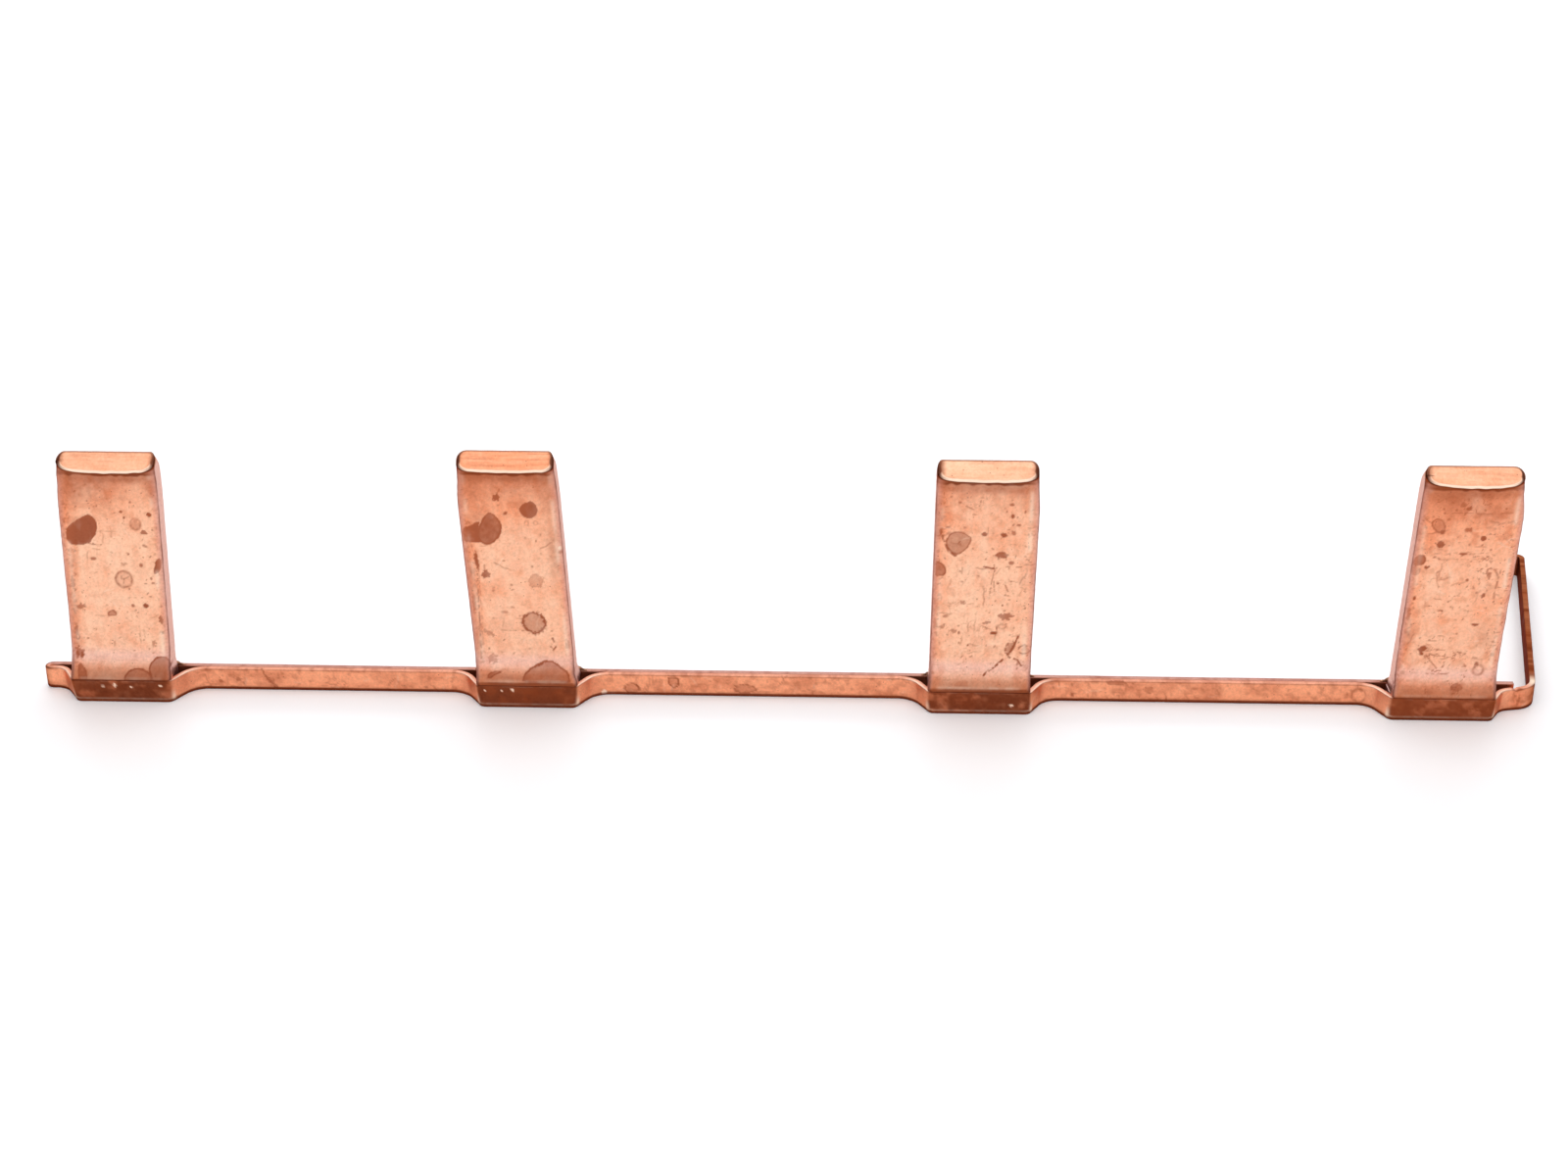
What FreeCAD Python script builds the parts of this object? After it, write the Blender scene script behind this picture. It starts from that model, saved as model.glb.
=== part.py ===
import FreeCAD, Part
import math
import os
import Sketcher
from FreeCAD import Placement, Rotation, Vector

# Four copper blades held between the two layers of one folded copper strip.
# Millimetres. +X runs along the rail from the folded end to the leg, +Y points
# to the back and +Z up. The origin is the middle of the footprint on the table.

DIMS = [
    # the strip
    ("strip_thick", 0.70),      # thickness of the strip
    ("strip_high", 2.92),       # height of the strip, standing on edge
    ("edge_round", 0.10),       # rounding of the strip's long edges
    ("layer_gap", 0.04),        # air left between the two layers of the rail
    ("toe_front", 3.73),        # how far the front layer jogs forward
    ("flare_deg", 60.0),        # slope of the jog in plan
    ("flare_round", 3.20),      # centre line radius where the jog leaves the rail
    ("last_round", 2.20),       # the same beside the leg, where there is less room
    ("last_forward", 1.15),     # how far the strip stays forward beside the leg
    ("first_round", 2.20),      # the same radius beside the fold
    ("corner_round", 0.47),     # centre line radius at the corner of a toe
    ("corner_clear", 0.07),     # side clearance of a toe in its corner
    ("fold_round", 0.50),       # centre line radius of the fold at the left end
    ("fold_x", -91.25),         # outside of the fold
    ("rear_end_x", 90.30),      # right end of the rear layer
    ("leg_near_x", 92.45),      # centre line of the leg where it meets the rail
    ("leg_near_y", 0.10),
    ("leg_far_x", 100.341),      # centre line of the leg at its far corner
    ("leg_far_y", 39.53),
    ("leg_near_round", 2.80),
    ("leg_far_round", 0.90),
    ("return_long", 10.0),      # short return behind the last blade
    # the blades
    ("blade_wide", 12.50),
    ("blade_thick", 2.80),
    ("toe_wide", 11.35),        # the toe is let in at the sides for the strip
    ("toe_deep", 0.96),         # how far back the side notches of the toe reach
    ("bend_round", 2.60),       # inside radius of the turned tip
    ("bend_deg", 45.0),
    ("sweep_high", 4.60),       # height of the hollow sweep above the strip
    ("sweep_round", 7.376),     # radius of that sweep
    ("lip_back", 0.06),         # the sweep ends this far behind the strip's face
    ("blade_edge", 0.50),       # rounding of the blade's long edges
    ("blade_1_x", -80.68),
    ("blade_2_x", -30.47),
    ("blade_3_x", 24.80),
    ("blade_4_x", 80.97),
    ("blade_1_bend", 28.38),    # height where the tip begins to turn forward
    ("blade_2_bend", 29.04),
    ("blade_3_bend", 28.50),
    ("blade_4_bend", 28.45),
    ("blade_1_lean", 1.10),     # sideways lean of the blade's top corners
    ("blade_2_lean", -1.60),
    ("blade_3_lean", 0.40),
    ("blade_4_lean", 1.20),
    # the filler beads
    ("bead_size", 0.70),
    ("bead_cut", 0.65),
    # offsets that keep every sketch coordinate positive, and the frame's origin
    ("datum_x", 20.0),
    ("datum_y", 10.0),
    ("blank_high", 34.0),
    ("origin_x", 4.6206),
    ("origin_y", 18.075),
]
VAL = dict(DIMS)

doc = FreeCAD.newDocument("busbar")
dims = doc.addObject("Spreadsheet::Sheet", "dims")
for row, (name, value) in enumerate(DIMS, start=1):
    dims.set("A%d" % row, name)
    dims.set("B%d" % row, repr(float(value)))
    dims.setAlias("B%d" % row, name)
doc.recompute()


class Size:
    """A dimension as the text of an expression, with its value."""

    def __init__(self, text, value):
        self.text = text
        self.value = float(value)

    def _other(self, b):
        return b if isinstance(b, Size) else Size(repr(float(b)), b)

    def __add__(self, b):
        b = self._other(b)
        return Size("(%s + %s)" % (self.text, b.text), self.value + b.value)

    def __sub__(self, b):
        b = self._other(b)
        return Size("(%s - %s)" % (self.text, b.text), self.value - b.value)

    def __mul__(self, b):
        b = self._other(b)
        return Size("(%s * %s)" % (self.text, b.text), self.value * b.value)

    def __truediv__(self, b):
        b = self._other(b)
        return Size("(%s / %s)" % (self.text, b.text), self.value / b.value)


def dim(name):
    return Size("dims." + name, VAL[name])


def cosine(a):
    return Size("cos(%s)" % a.text, math.cos(math.radians(a.value)))


def sine(a):
    return Size("sin(%s)" % a.text, math.sin(math.radians(a.value)))


ZERO = Size("0", 0.0)


def plane(body, role):
    for feature in body.Origin.OriginFeatures:
        if feature.Role == role:
            return feature
    raise RuntimeError("no plane " + role)


def new_sketch(body, name, role):
    sk = body.newObject("Sketcher::SketchObject", name)
    sk.AttachmentSupport = [(plane(body, role), "")]
    sk.MapMode = "FlatFace"
    return sk


def bind(sk, kind, size, *where):
    """One dimension of a sketch, tied to the sheet."""
    index = sk.addConstraint(Sketcher.Constraint(kind, *where, size.value))
    sk.setExpression("Constraints[%d]" % index, size.text)


def outline(sk, points, arcs=None):
    """A closed outline through points; arcs maps a side to (radius, centre)."""
    arcs = arcs or {}
    count = len(points)
    xy = [Vector(p[0].value, p[1].value, 0) for p in points]
    first = sk.GeometryCount
    starts = []
    for i in range(count):
        a, b = xy[i], xy[(i + 1) % count]
        if i in arcs:
            radius, centre, turns_left = arcs[i]
            c = Vector(centre[0], centre[1], 0)
            t0 = math.atan2(a.y - c.y, a.x - c.x)
            t1 = math.atan2(b.y - c.y, b.x - c.x)
            if not turns_left:
                t0, t1 = t1, t0
            circle = Part.Circle(c, Vector(0, 0, 1), radius.value)
            g = sk.addGeometry(Part.ArcOfCircle(circle, t0, t1), False)
            starts.append((g, 1, 2) if turns_left else (g, 2, 1))
        else:
            g = sk.addGeometry(Part.LineSegment(a, b), False)
            starts.append((g, 1, 2))
    for i in range(count):
        g, _, end = starts[i]
        n, begin, _ = starts[(i + 1) % count]
        sk.addConstraint(Sketcher.Constraint("Coincident", g, end, n, begin))
    for i in range(count):
        g, begin, _ = starts[i]
        px, py = points[i]
        bind(sk, "DistanceX", px, -1, 1, g, begin)
        if py is ZERO:
            sk.addConstraint(Sketcher.Constraint("PointOnObject", g, begin, -1))
        else:
            bind(sk, "DistanceY", py, -1, 1, g, begin)
        if i in arcs:
            bind(sk, "Radius", arcs[i][0], g)
    return first


def both_ways(feature):
    """Make a pad or pocket run the same way on both sides of its sketch."""
    if "SideType" in feature.PropertiesList:
        feature.SideType = "Symmetric"
    else:
        feature.Midplane = True


# ------------------------------------------------------------- carrier strip
def carrier_path():
    """Centre line of the strip in plan: corners with their radii."""
    half = VAL["strip_thick"] / 2.0
    dy = VAL["datum_y"]
    front = half
    rear = VAL["strip_thick"] + VAL["layer_gap"] + half
    toe = -VAL["toe_front"] + half
    ang = math.radians(VAL["flare_deg"])
    corner = (VAL["toe_wide"] / 2.0 + half * math.tan(ang / 2.0)
              + VAL["corner_clear"])
    pts = [(VAL["leg_far_x"] - VAL["return_long"], VAL["leg_far_y"], 0.0),
           (VAL["leg_far_x"], VAL["leg_far_y"], VAL["leg_far_round"]),
           (VAL["leg_near_x"], VAL["leg_near_y"], VAL["leg_near_round"])]
    stub = rear - 2.0 * VAL["fold_round"]
    for k in (4, 3, 2, 1):
        x = VAL["blade_%d_x" % k]
        right = front if k < 4 else front - VAL["last_forward"]
        run = (right - toe) / math.tan(ang)
        left = front if k > 1 else stub
        run_left = (left - toe) / math.tan(ang)
        pts.append((x + corner + run, right,
                    VAL["flare_round"] if k < 4 else VAL["last_round"]))
        pts.append((x + corner, toe, VAL["corner_round"]))
        pts.append((x - corner, toe, VAL["corner_round"]))
        pts.append((x - corner - run_left, left,
                    VAL["flare_round"] if k > 1 else VAL["first_round"]))
    fold = VAL["fold_x"] + half
    pts.append((fold, stub, VAL["fold_round"]))
    pts.append((fold, rear, VAL["fold_round"]))
    pts.append((VAL["rear_end_x"], rear, 0.0))
    return [(Vector(x, y + dy, 0), r) for x, y, r in reversed(pts)]


def rounded_path(corners):
    """Straight runs joined by tangent arcs."""
    edges = []
    here = corners[0][0]
    for i in range(1, len(corners)):
        p, r = corners[i]
        if i == len(corners) - 1:
            edges.append(Part.LineSegment(here, p))
            break
        u = (corners[i - 1][0] - p).normalize()
        v = (corners[i + 1][0] - p).normalize()
        turn = math.pi - u.getAngle(v)
        reach = r * math.tan(turn / 2.0)
        a = p + u * reach
        b = p + v * reach
        mid_dir = (u + v).normalize()
        c = p + mid_dir * (r / math.cos(turn / 2.0))
        m = c - mid_dir * r
        if (a - here).Length > 1e-5:
            edges.append(Part.LineSegment(here, a))
        edges.append(Part.Arc(a, m, b))
        here = b
    return edges


strip = doc.addObject("PartDesign::Body", "carrier_strip")
strip.Label = "carrier_strip"
section = new_sketch(strip, "strip_section", "YZ_Plane")
section.AttachmentOffset = Placement(Vector(0, 0, VAL["rear_end_x"]), Rotation())
section.setExpression("AttachmentOffset.Base.z", "dims.rear_end_x")
y0 = dim("datum_y") + dim("strip_thick") + dim("layer_gap")
y1 = y0 + dim("strip_thick")
z1 = dim("strip_high")
er = dim("edge_round")
outline(section,
        [(y0 + er, ZERO), (y1 - er, ZERO), (y1, er), (y1, z1 - er),
         (y1 - er, z1), (y0 + er, z1), (y0, z1 - er), (y0, er)],
        {1: (er, (y1.value - er.value, er.value), True),
         3: (er, (y1.value - er.value, z1.value - er.value), True),
         5: (er, (y0.value + er.value, z1.value - er.value), True),
         7: (er, (y0.value + er.value, er.value), True)})
route = new_sketch(strip, "strip_route", "XY_Plane")
for g in rounded_path(carrier_path()):
    route.addGeometry(g, False)
doc.recompute()
pipe = strip.newObject("PartDesign::AdditivePipe", "strip_sweep")
pipe.Profile = section
pipe.Spine = (route, ["Edge%d" % (i + 1) for i in range(route.GeometryCount)])
pipe.Mode = "Standard"
section.Visibility = False
doc.recompute()


# ------------------------------------------------------------------- blades
def blade(number):
    name = "blade_%d" % number
    body = doc.addObject("PartDesign::Body", name)
    body.Label = name
    lean = dim(name + "_lean")
    mid = dim("datum_x")
    half = dim("blade_wide") / 2.0
    top = dim("blank_high")
    # front outline: foot square to the rail, sides leaning to the tip
    face = new_sketch(body, name + "_outline", "XZ_Plane")
    outline(face, [(mid - half, ZERO), (mid + half, ZERO),
                   (mid + half, dim("strip_high")),
                   (mid + half + lean, top), (mid - half + lean, top),
                   (mid - half, dim("strip_high"))])
    doc.recompute()
    pad = body.newObject("PartDesign::Pad", name + "_blank")
    pad.Profile = face
    both_ways(pad)
    pad.Length = 4.0 * VAL["datum_y"]
    pad.setExpression("Length", "4 * dims.datum_y")
    doc.recompute()
    # side profile: toe, rebate for the strip, hollow sweep, upright blade, and
    # the tip turned forward
    back = dim("datum_y") + dim("strip_thick") + dim("layer_gap")
    front = back - dim("blade_thick")
    toe = dim("datum_y") - dim("toe_front") + dim("strip_thick")
    lip = dim("datum_y") - dim("toe_front") + dim("lip_back")
    shelf = dim("strip_high")
    sweep_top = shelf + dim("sweep_high")
    bend = dim(name + "_bend")
    ri = dim("bend_round")
    ro = ri + dim("blade_thick")
    deg = dim("bend_deg")
    centre_y = front - ri
    ridge = (centre_y + ri * cosine(deg), bend + ri * sine(deg))
    crown = (centre_y + ro * cosine(deg), bend + ro * sine(deg))
    side = new_sketch(body, name + "_profile", "YZ_Plane")
    # the hollow sweep is an arc whose centre lies in front of the blade
    a = Vector(lip.value, shelf.value, 0)
    b = Vector(front.value, sweep_top.value, 0)
    r = VAL["sweep_round"]
    chord = b - a
    m = (a + b) * 0.5
    n = Vector(-chord.y, chord.x, 0).normalize()
    c = m + n * math.sqrt(r * r - (chord.Length / 2.0) ** 2)
    outline(side,
            [(back, ZERO), (back, bend), crown, ridge, (front, bend),
             (front, sweep_top), (lip, shelf), (toe, shelf), (toe, ZERO)],
            {1: (ro, (centre_y.value, bend.value), True),
             3: (ri, (centre_y.value, bend.value), False),
             5: (dim("sweep_round"), (c.x, c.y), False)})
    # everything outside the profile, to the limits of the blank, comes away
    reach = dim("datum_y") * 3.0
    above = dim("blank_high") + dim("datum_y")
    below = dim("datum_y") / 2.0
    pts = [Vector(-reach.value, -below.value, 0), Vector(reach.value, -below.value, 0),
           Vector(reach.value, above.value, 0), Vector(-reach.value, above.value, 0)]
    ids = []
    for i in range(4):
        ids.append(side.addGeometry(
            Part.LineSegment(pts[i], pts[(i + 1) % 4]), False))
    for i in range(4):
        side.addConstraint(Sketcher.Constraint(
            "Coincident", ids[i], 2, ids[(i + 1) % 4], 1))
    for i in range(4):
        side.addConstraint(Sketcher.Constraint(
            "Horizontal" if i % 2 == 0 else "Vertical", ids[i]))
    bind(side, "DistanceX", reach, ids[0], 1, -1, 1)
    bind(side, "DistanceX", reach, -1, 1, ids[0], 2)
    bind(side, "DistanceY", above, -1, 1, ids[2], 1)
    bind(side, "DistanceY", below, ids[0], 1, -1, 1)
    doc.recompute()
    before = body.Shape.Volume
    cut = body.newObject("PartDesign::Pocket", name + "_trim")
    cut.Profile = side
    both_ways(cut)
    cut.Length = 6.0 * VAL["datum_x"]
    cut.setExpression("Length", "6 * dims.datum_x")
    doc.recompute()
    if not 0.0 < body.Shape.Volume < 0.5 * before:
        raise RuntimeError(name + ": the side profile was not cut")
    # rounded long edges
    names = []
    for i, e in enumerate(cut.Shape.Edges, start=1):
        z = [v.Point.z for v in e.Vertexes]
        if len(z) != 2 or min(z) < VAL["strip_high"] - 1e-6:
            continue
        if abs(e.Vertexes[0].Point.x - e.Vertexes[1].Point.x) > 3.0:
            continue
        if max(z) < VAL["strip_high"] + 1e-6 and \
                all(v.Point.y < toe.value + 1e-4 for v in e.Vertexes):
            continue
        on_crown = (abs(z[0] - crown[1].value) < 1e-4 or
                    abs(z[1] - crown[1].value) < 1e-4)
        on_ridge = (abs(z[0] - ridge[1].value) < 1e-4 or
                    abs(z[1] - ridge[1].value) < 1e-4)
        if on_crown and on_ridge:
            continue
        names.append("Edge%d" % i)
    for i, e in enumerate(cut.Shape.Edges, start=1):
        z = sorted(v.Point.z for v in e.Vertexes)
        if len(z) != 2:
            continue
        if all(abs(v.Point.y - back.value) < 1e-4 for v in e.Vertexes) \
                and z[0] < VAL["strip_high"] - 1e-6 and z[1] - z[0] > 1.0:
            names.append("Edge%d" % i)
    edge = body.newObject("PartDesign::Fillet", name + "_edges")
    edge.Base = (cut, sorted(set(names), key=lambda q: int(q[4:])))
    edge.Radius = VAL["blade_edge"]
    edge.setExpression("Radius", "dims.blade_edge")
    cut.Visibility = False
    doc.recompute()
    # side notches of the toe, so that the strip's corners lie under the blade's
    # own edges
    notch = new_sketch(body, name + "_toe", "XY_Plane")
    toe_half = dim("toe_wide") / 2.0
    near, far = toe - 1.0, toe + dim("toe_deep")
    for a, b in ((mid - half - 1.0, mid - toe_half), (mid + toe_half, mid + half + 1.0)):
        outline(notch, [(a, near), (b, near), (b, far), (a, far)])
    doc.recompute()
    before = body.Shape.Volume
    side_cut = body.newObject("PartDesign::Pocket", name + "_let_in")
    side_cut.Profile = notch
    side_cut.Reversed = True
    side_cut.Length = VAL["strip_high"]
    side_cut.setExpression("Length", "dims.strip_high")
    edge.Visibility = False
    doc.recompute()
    if not 2.0 < before - body.Shape.Volume < 6.0:
        raise RuntimeError(name + ": the toe was not let in")
    body.setExpression(".Placement.Base.x",
                       "dims.%s_x - dims.datum_x - dims.origin_x" % name)
    body.setExpression(".Placement.Base.y", "-dims.datum_y - dims.origin_y")
    return body


blades = [blade(k) for k in (1, 2, 3, 4)]

strip.setExpression(".Placement.Base.x", "-dims.origin_x")
strip.setExpression(".Placement.Base.y", "-dims.datum_y - dims.origin_y")


# -------------------------------------------------------------- filler beads
def bead(number):
    """A hollow fillet of filler behind a blade, on top of the rear layer."""
    name = "bead_%d" % number
    long_half = "(dims.blade_wide / 2 + dims.bead_size)"
    mid = "(dims.blade_%d_x - dims.origin_x)" % number
    back = "(dims.strip_thick + dims.layer_gap - dims.origin_y)"
    box = doc.addObject("Part::Box", name + "_block")
    box.setExpression("Length", "2 * " + long_half)
    box.setExpression("Width", "dims.strip_thick")
    box.setExpression("Height", "dims.bead_size")
    box.setExpression(".Placement.Base.x", mid + " - " + long_half)
    box.setExpression(".Placement.Base.y", back)
    box.setExpression(".Placement.Base.z", "dims.strip_high")
    rod = doc.addObject("Part::Cylinder", name + "_hollow")
    rod.Placement = Placement(Vector(), Rotation(Vector(0, 1, 0), 90))
    rod.setExpression("Radius", "dims.bead_cut")
    rod.setExpression("Height", "4 * dims.blade_wide")
    rod.setExpression(".Placement.Base.x", mid + " - 2 * dims.blade_wide")
    rod.setExpression(".Placement.Base.y", back + " + dims.strip_thick")
    rod.setExpression(".Placement.Base.z", "dims.strip_high + dims.bead_size")
    cutters = [rod]
    for tag, sign in (("left", "-"), ("right", "+")):
        end = doc.addObject("Part::Cylinder", name + "_" + tag)
        end.Placement = Placement(Vector(), Rotation(Vector(1, 0, 0), -90))
        end.setExpression("Radius", "dims.bead_cut")
        end.setExpression("Height", "4 * dims.strip_thick")
        end.setExpression(".Placement.Base.x", "%s %s %s" % (mid, sign, long_half))
        end.setExpression(".Placement.Base.y", back + " - dims.strip_thick")
        end.setExpression(".Placement.Base.z",
                          "dims.strip_high + dims.bead_size")
        cutters.append(end)
    shape = box
    for i, tool in enumerate(cutters):
        step = doc.addObject("Part::Cut", "%s_%d" % (name, i))
        step.Base = shape
        step.Tool = tool
        shape = step
    return shape


beads = doc.addObject("Part::MultiFuse", "braze_beads")
beads.Label = "braze_beads"
beads.Shapes = [bead(k) for k in (1, 2, 3, 4)]
doc.recompute()

# ------------------------------------------------------------ check and write
pieces = [strip] + blades + [beads]
for obj in doc.Objects:
    if "Invalid" in obj.State or "Error" in obj.State:
        raise RuntimeError("%s is %s" % (obj.Name, obj.State))
for piece in pieces:
    if piece.Shape.isNull() or not piece.Shape.isValid():
        raise RuntimeError(piece.Label + " has no valid shape")
os.makedirs("parts", exist_ok=True)
box = FreeCAD.BoundBox()
for piece in pieces:
    box.add(piece.Shape.BoundBox)
    piece.Shape.exportStep("parts/%s.step" % piece.Label)
    print(piece.Label, len(piece.Shape.Solids), "solids",
          round(piece.Shape.Volume, 3), "mm3")
print("box", [round(v, 3) for v in (box.XMin, box.XMax, box.YMin, box.YMax,
                                    box.ZMin, box.ZMax)])
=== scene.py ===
import math

import bpy
import numpy as np
from mathutils import Matrix


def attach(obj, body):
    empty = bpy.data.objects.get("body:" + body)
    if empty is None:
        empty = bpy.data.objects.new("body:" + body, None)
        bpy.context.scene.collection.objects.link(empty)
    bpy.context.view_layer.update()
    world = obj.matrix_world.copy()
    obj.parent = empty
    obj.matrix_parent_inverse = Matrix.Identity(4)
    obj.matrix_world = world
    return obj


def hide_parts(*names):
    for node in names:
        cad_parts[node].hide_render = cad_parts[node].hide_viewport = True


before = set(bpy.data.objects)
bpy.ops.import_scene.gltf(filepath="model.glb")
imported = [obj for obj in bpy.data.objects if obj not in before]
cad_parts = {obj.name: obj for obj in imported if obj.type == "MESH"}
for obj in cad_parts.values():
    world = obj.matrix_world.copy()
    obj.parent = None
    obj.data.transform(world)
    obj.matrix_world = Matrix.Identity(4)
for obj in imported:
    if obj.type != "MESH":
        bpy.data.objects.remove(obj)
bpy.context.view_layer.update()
MM = 0.001

# ---------------------------------------------------------------- noise ----


def lattice(ix, iy, seed):
    """A fixed pseudo-random number in 0..1 for each lattice point."""
    with np.errstate(over="ignore"):         # the products wrap round
        h = (ix.astype(np.int64) * 374761393 + iy.astype(np.int64) * 668265263
             + seed * 974711) & 0xFFFFFFFF
        h = ((h ^ (h >> 13)) * 1274126177) & 0xFFFFFFFF
        h = ((h ^ (h >> 15)) * 2246822519) & 0xFFFFFFFF
    return ((h ^ (h >> 16)) & 0xFFFFFF) / float(0xFFFFFF)


def noise(x, y, seed=0):
    """Smooth value noise, 0..1, one cell per unit."""
    x, y = np.broadcast_arrays(np.asarray(x, float), np.asarray(y, float))
    ix, iy = np.floor(x), np.floor(y)
    fx, fy = x - ix, y - iy
    fx = fx * fx * (3 - 2 * fx)
    fy = fy * fy * (3 - 2 * fy)
    a = lattice(ix, iy, seed)
    b = lattice(ix + 1, iy, seed)
    c = lattice(ix, iy + 1, seed)
    d = lattice(ix + 1, iy + 1, seed)
    return (a * (1 - fx) + b * fx) * (1 - fy) + (c * (1 - fx) + d * fx) * fy


def fbm(x, y, seed=0, octaves=4):
    x, y = np.asarray(x, float), np.asarray(y, float)
    total, amp, norm = 0.0, 1.0, 0.0
    for k in range(octaves):
        total = total + amp * noise(x * 2 ** k, y * 2 ** k, seed + 17 * k)
        norm += amp
        amp *= 0.5
    return total / norm


def step(a, b, x):
    """Smooth step from a to b, either way round."""
    t = np.clip((x - a) / (b - a), 0.0, 1.0)
    return t * t * (3 - 2 * t)


def bump(x, centre, width):
    return np.exp(-((x - centre) / width) ** 2)


# ----------------------------------------------------------- worn surfaces -


def loop_distance(u, v, pts):
    """Signed distance to a closed outline, positive inside."""
    pts = np.array(pts, float)
    for _ in range(2):                       # cut the corners round
        nxt = np.roll(pts, -1, 0)
        pts = np.stack([0.75 * pts + 0.25 * nxt, 0.25 * pts + 0.75 * nxt], 1).reshape(-1, 2)
    best = np.full(u.shape, 1e9)
    inside = np.zeros(u.shape, bool)
    for a, b in zip(pts, np.roll(pts, -1, 0)):
        d = b - a
        f = np.clip(((u - a[0]) * d[0] + (v - a[1]) * d[1]) / max(d @ d, 1e-12), 0, 1)
        best = np.minimum(best, np.hypot(u - a[0] - f * d[0], v - a[1] - f * d[1]))
        cross = (a[1] > v) != (b[1] > v)
        at = a[0] + (v - a[1]) * d[0] / (d[1] if abs(d[1]) > 1e-12 else 1e-12)
        inside ^= cross & (u < at)
    return np.where(inside, best, -best)


def line_distance(u, v, pts):
    best = np.full(u.shape, 1e9)
    for a, b in zip(pts[:-1], pts[1:]):
        a, d = np.array(a), np.array(b) - np.array(a)
        f = np.clip(((u - a[0]) * d[0] + (v - a[1]) * d[1]) / max(d @ d, 1e-12), 0, 1)
        best = np.minimum(best, np.hypot(u - a[0] - f * d[0], v - a[1] - f * d[1]))
    return best


def marks_on(u, v, marks, seed):
    """Film, spots, rings, scratches and glints as (film, glint) amounts.
    u and v are millimetres across and up the face."""
    shape = u.shape
    u, v = u.ravel(), v.ravel()
    film, glint = np.zeros(u.shape), np.zeros(u.shape)
    for i, m in enumerate(marks):
        kind, s = m[0], m[1]
        if kind in ("film", "line"):
            pts = np.array(m[-1])
            lo, hi = pts.min(0) - 0.8, pts.max(0) + 0.8
        else:
            c = np.array(m[{"spot": 4, "ring": 3, "haze": 2, "glint": 2}[kind]:][:4])
            grow = {"spot": 1.5, "ring": 1.6, "haze": 2.6, "glint": 1.6}[kind]
            r = max(c[2], c[3]) * grow + 0.2
            lo, hi = c[:2] - r, c[:2] + r
        near = np.flatnonzero((u > lo[0]) & (u < hi[0]) & (v > lo[1]) & (v < hi[1]))
        if not len(near):
            continue
        x, y = u[near], v[near]
        rough = fbm(x * 2.3, y * 2.3, seed + i, 3) - 0.5
        if kind == "film":
            _, _, rim, soft, pts = m
            d = loop_distance(x, y, pts) + 0.22 * rough
            body = step(-soft, soft, d) * (0.88 + 0.30 * rough)
            got = 1.2 * s * body + 2.0 * rim * bump(d, 0.07, 0.09)
        elif kind == "spot":
            _, _, rim, irr, cu, cv, ru, rv, rot = m
            t = math.radians(rot)
            dx, dy = x - cu, y - cv
            dx, dy = dx * math.cos(t) + dy * math.sin(t), dy * math.cos(t) - dx * math.sin(t)
            q = np.hypot(dx / ru, dy / rv) + 2.2 * irr * (fbm(x * 4, y * 4, seed + i, 2) - 0.5)
            edge = min(0.45, 0.06 / min(ru, rv))
            got = 1.2 * s * step(1 + edge, 1 - edge, q) + 1.9 * rim * bump(q, 0.95, 0.12)
        elif kind == "ring":
            _, _, w, cu, cv, ru, rv = m
            q = np.hypot((x - cu) / ru, (y - cv) / rv) + 0.25 * rough
            got = 1.3 * s * bump(q, 1.0, w) * (0.75 + 0.8 * rough)
        elif kind == "haze":
            _, _, cu, cv, ru, rv = m
            q = np.hypot((x - cu) / ru, (y - cv) / rv)
            got = s * np.exp(-q * q) * (0.85 + 0.9 * rough)
        elif kind == "line":
            _, _, w, pts = m
            d = line_distance(x, y, pts) + 0.10 * rough
            got = 1.35 * s * step(w * 0.5 + 0.09, w * 0.5 - 0.03, d) * (0.8 + 0.8 * rough) \
                * step(0.30, 0.55, fbm(x * 3.1, y * 3.1, seed + i + 7, 2))
        else:
            _, _, cu, cv, ru, rv = m
            q = np.hypot((x - cu) / ru, (y - cv) / rv) + 0.5 * rough
            glint[near] = np.maximum(glint[near], s * step(1.2, 0.7, q))
            continue
        got = np.clip(got, 0, 1)
        film[near] = 1 - (1 - film[near]) * (1 - got)
    return film.reshape(shape), glint.reshape(shape)


def peppered(u, v, box, count, size, seed):
    """Small irregular specks spread over box, as an amount."""
    rng = np.random.default_rng(seed)
    shape = u.shape
    u, v = u.ravel(), v.ravel()
    out = np.zeros(u.shape)
    for _ in range(count):
        cu, cv = rng.uniform(box[0], box[2]), rng.uniform(box[1], box[3])
        r, s = rng.uniform(*size), rng.uniform(0.3, 0.75)
        stretch, th = rng.uniform(0.6, 1.7), rng.uniform(0, math.pi)
        near = np.flatnonzero((np.abs(u - cu) < 3 * r) & (np.abs(v - cv) < 3 * r))
        dx, dy = u[near] - cu, v[near] - cv
        a = (dx * math.cos(th) + dy * math.sin(th)) * stretch
        b = (dy * math.cos(th) - dx * math.sin(th)) / stretch
        out[near] = np.maximum(out[near], s * step(1.35, 0.6, np.hypot(a, b) / r))
    return out.reshape(shape)


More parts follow.
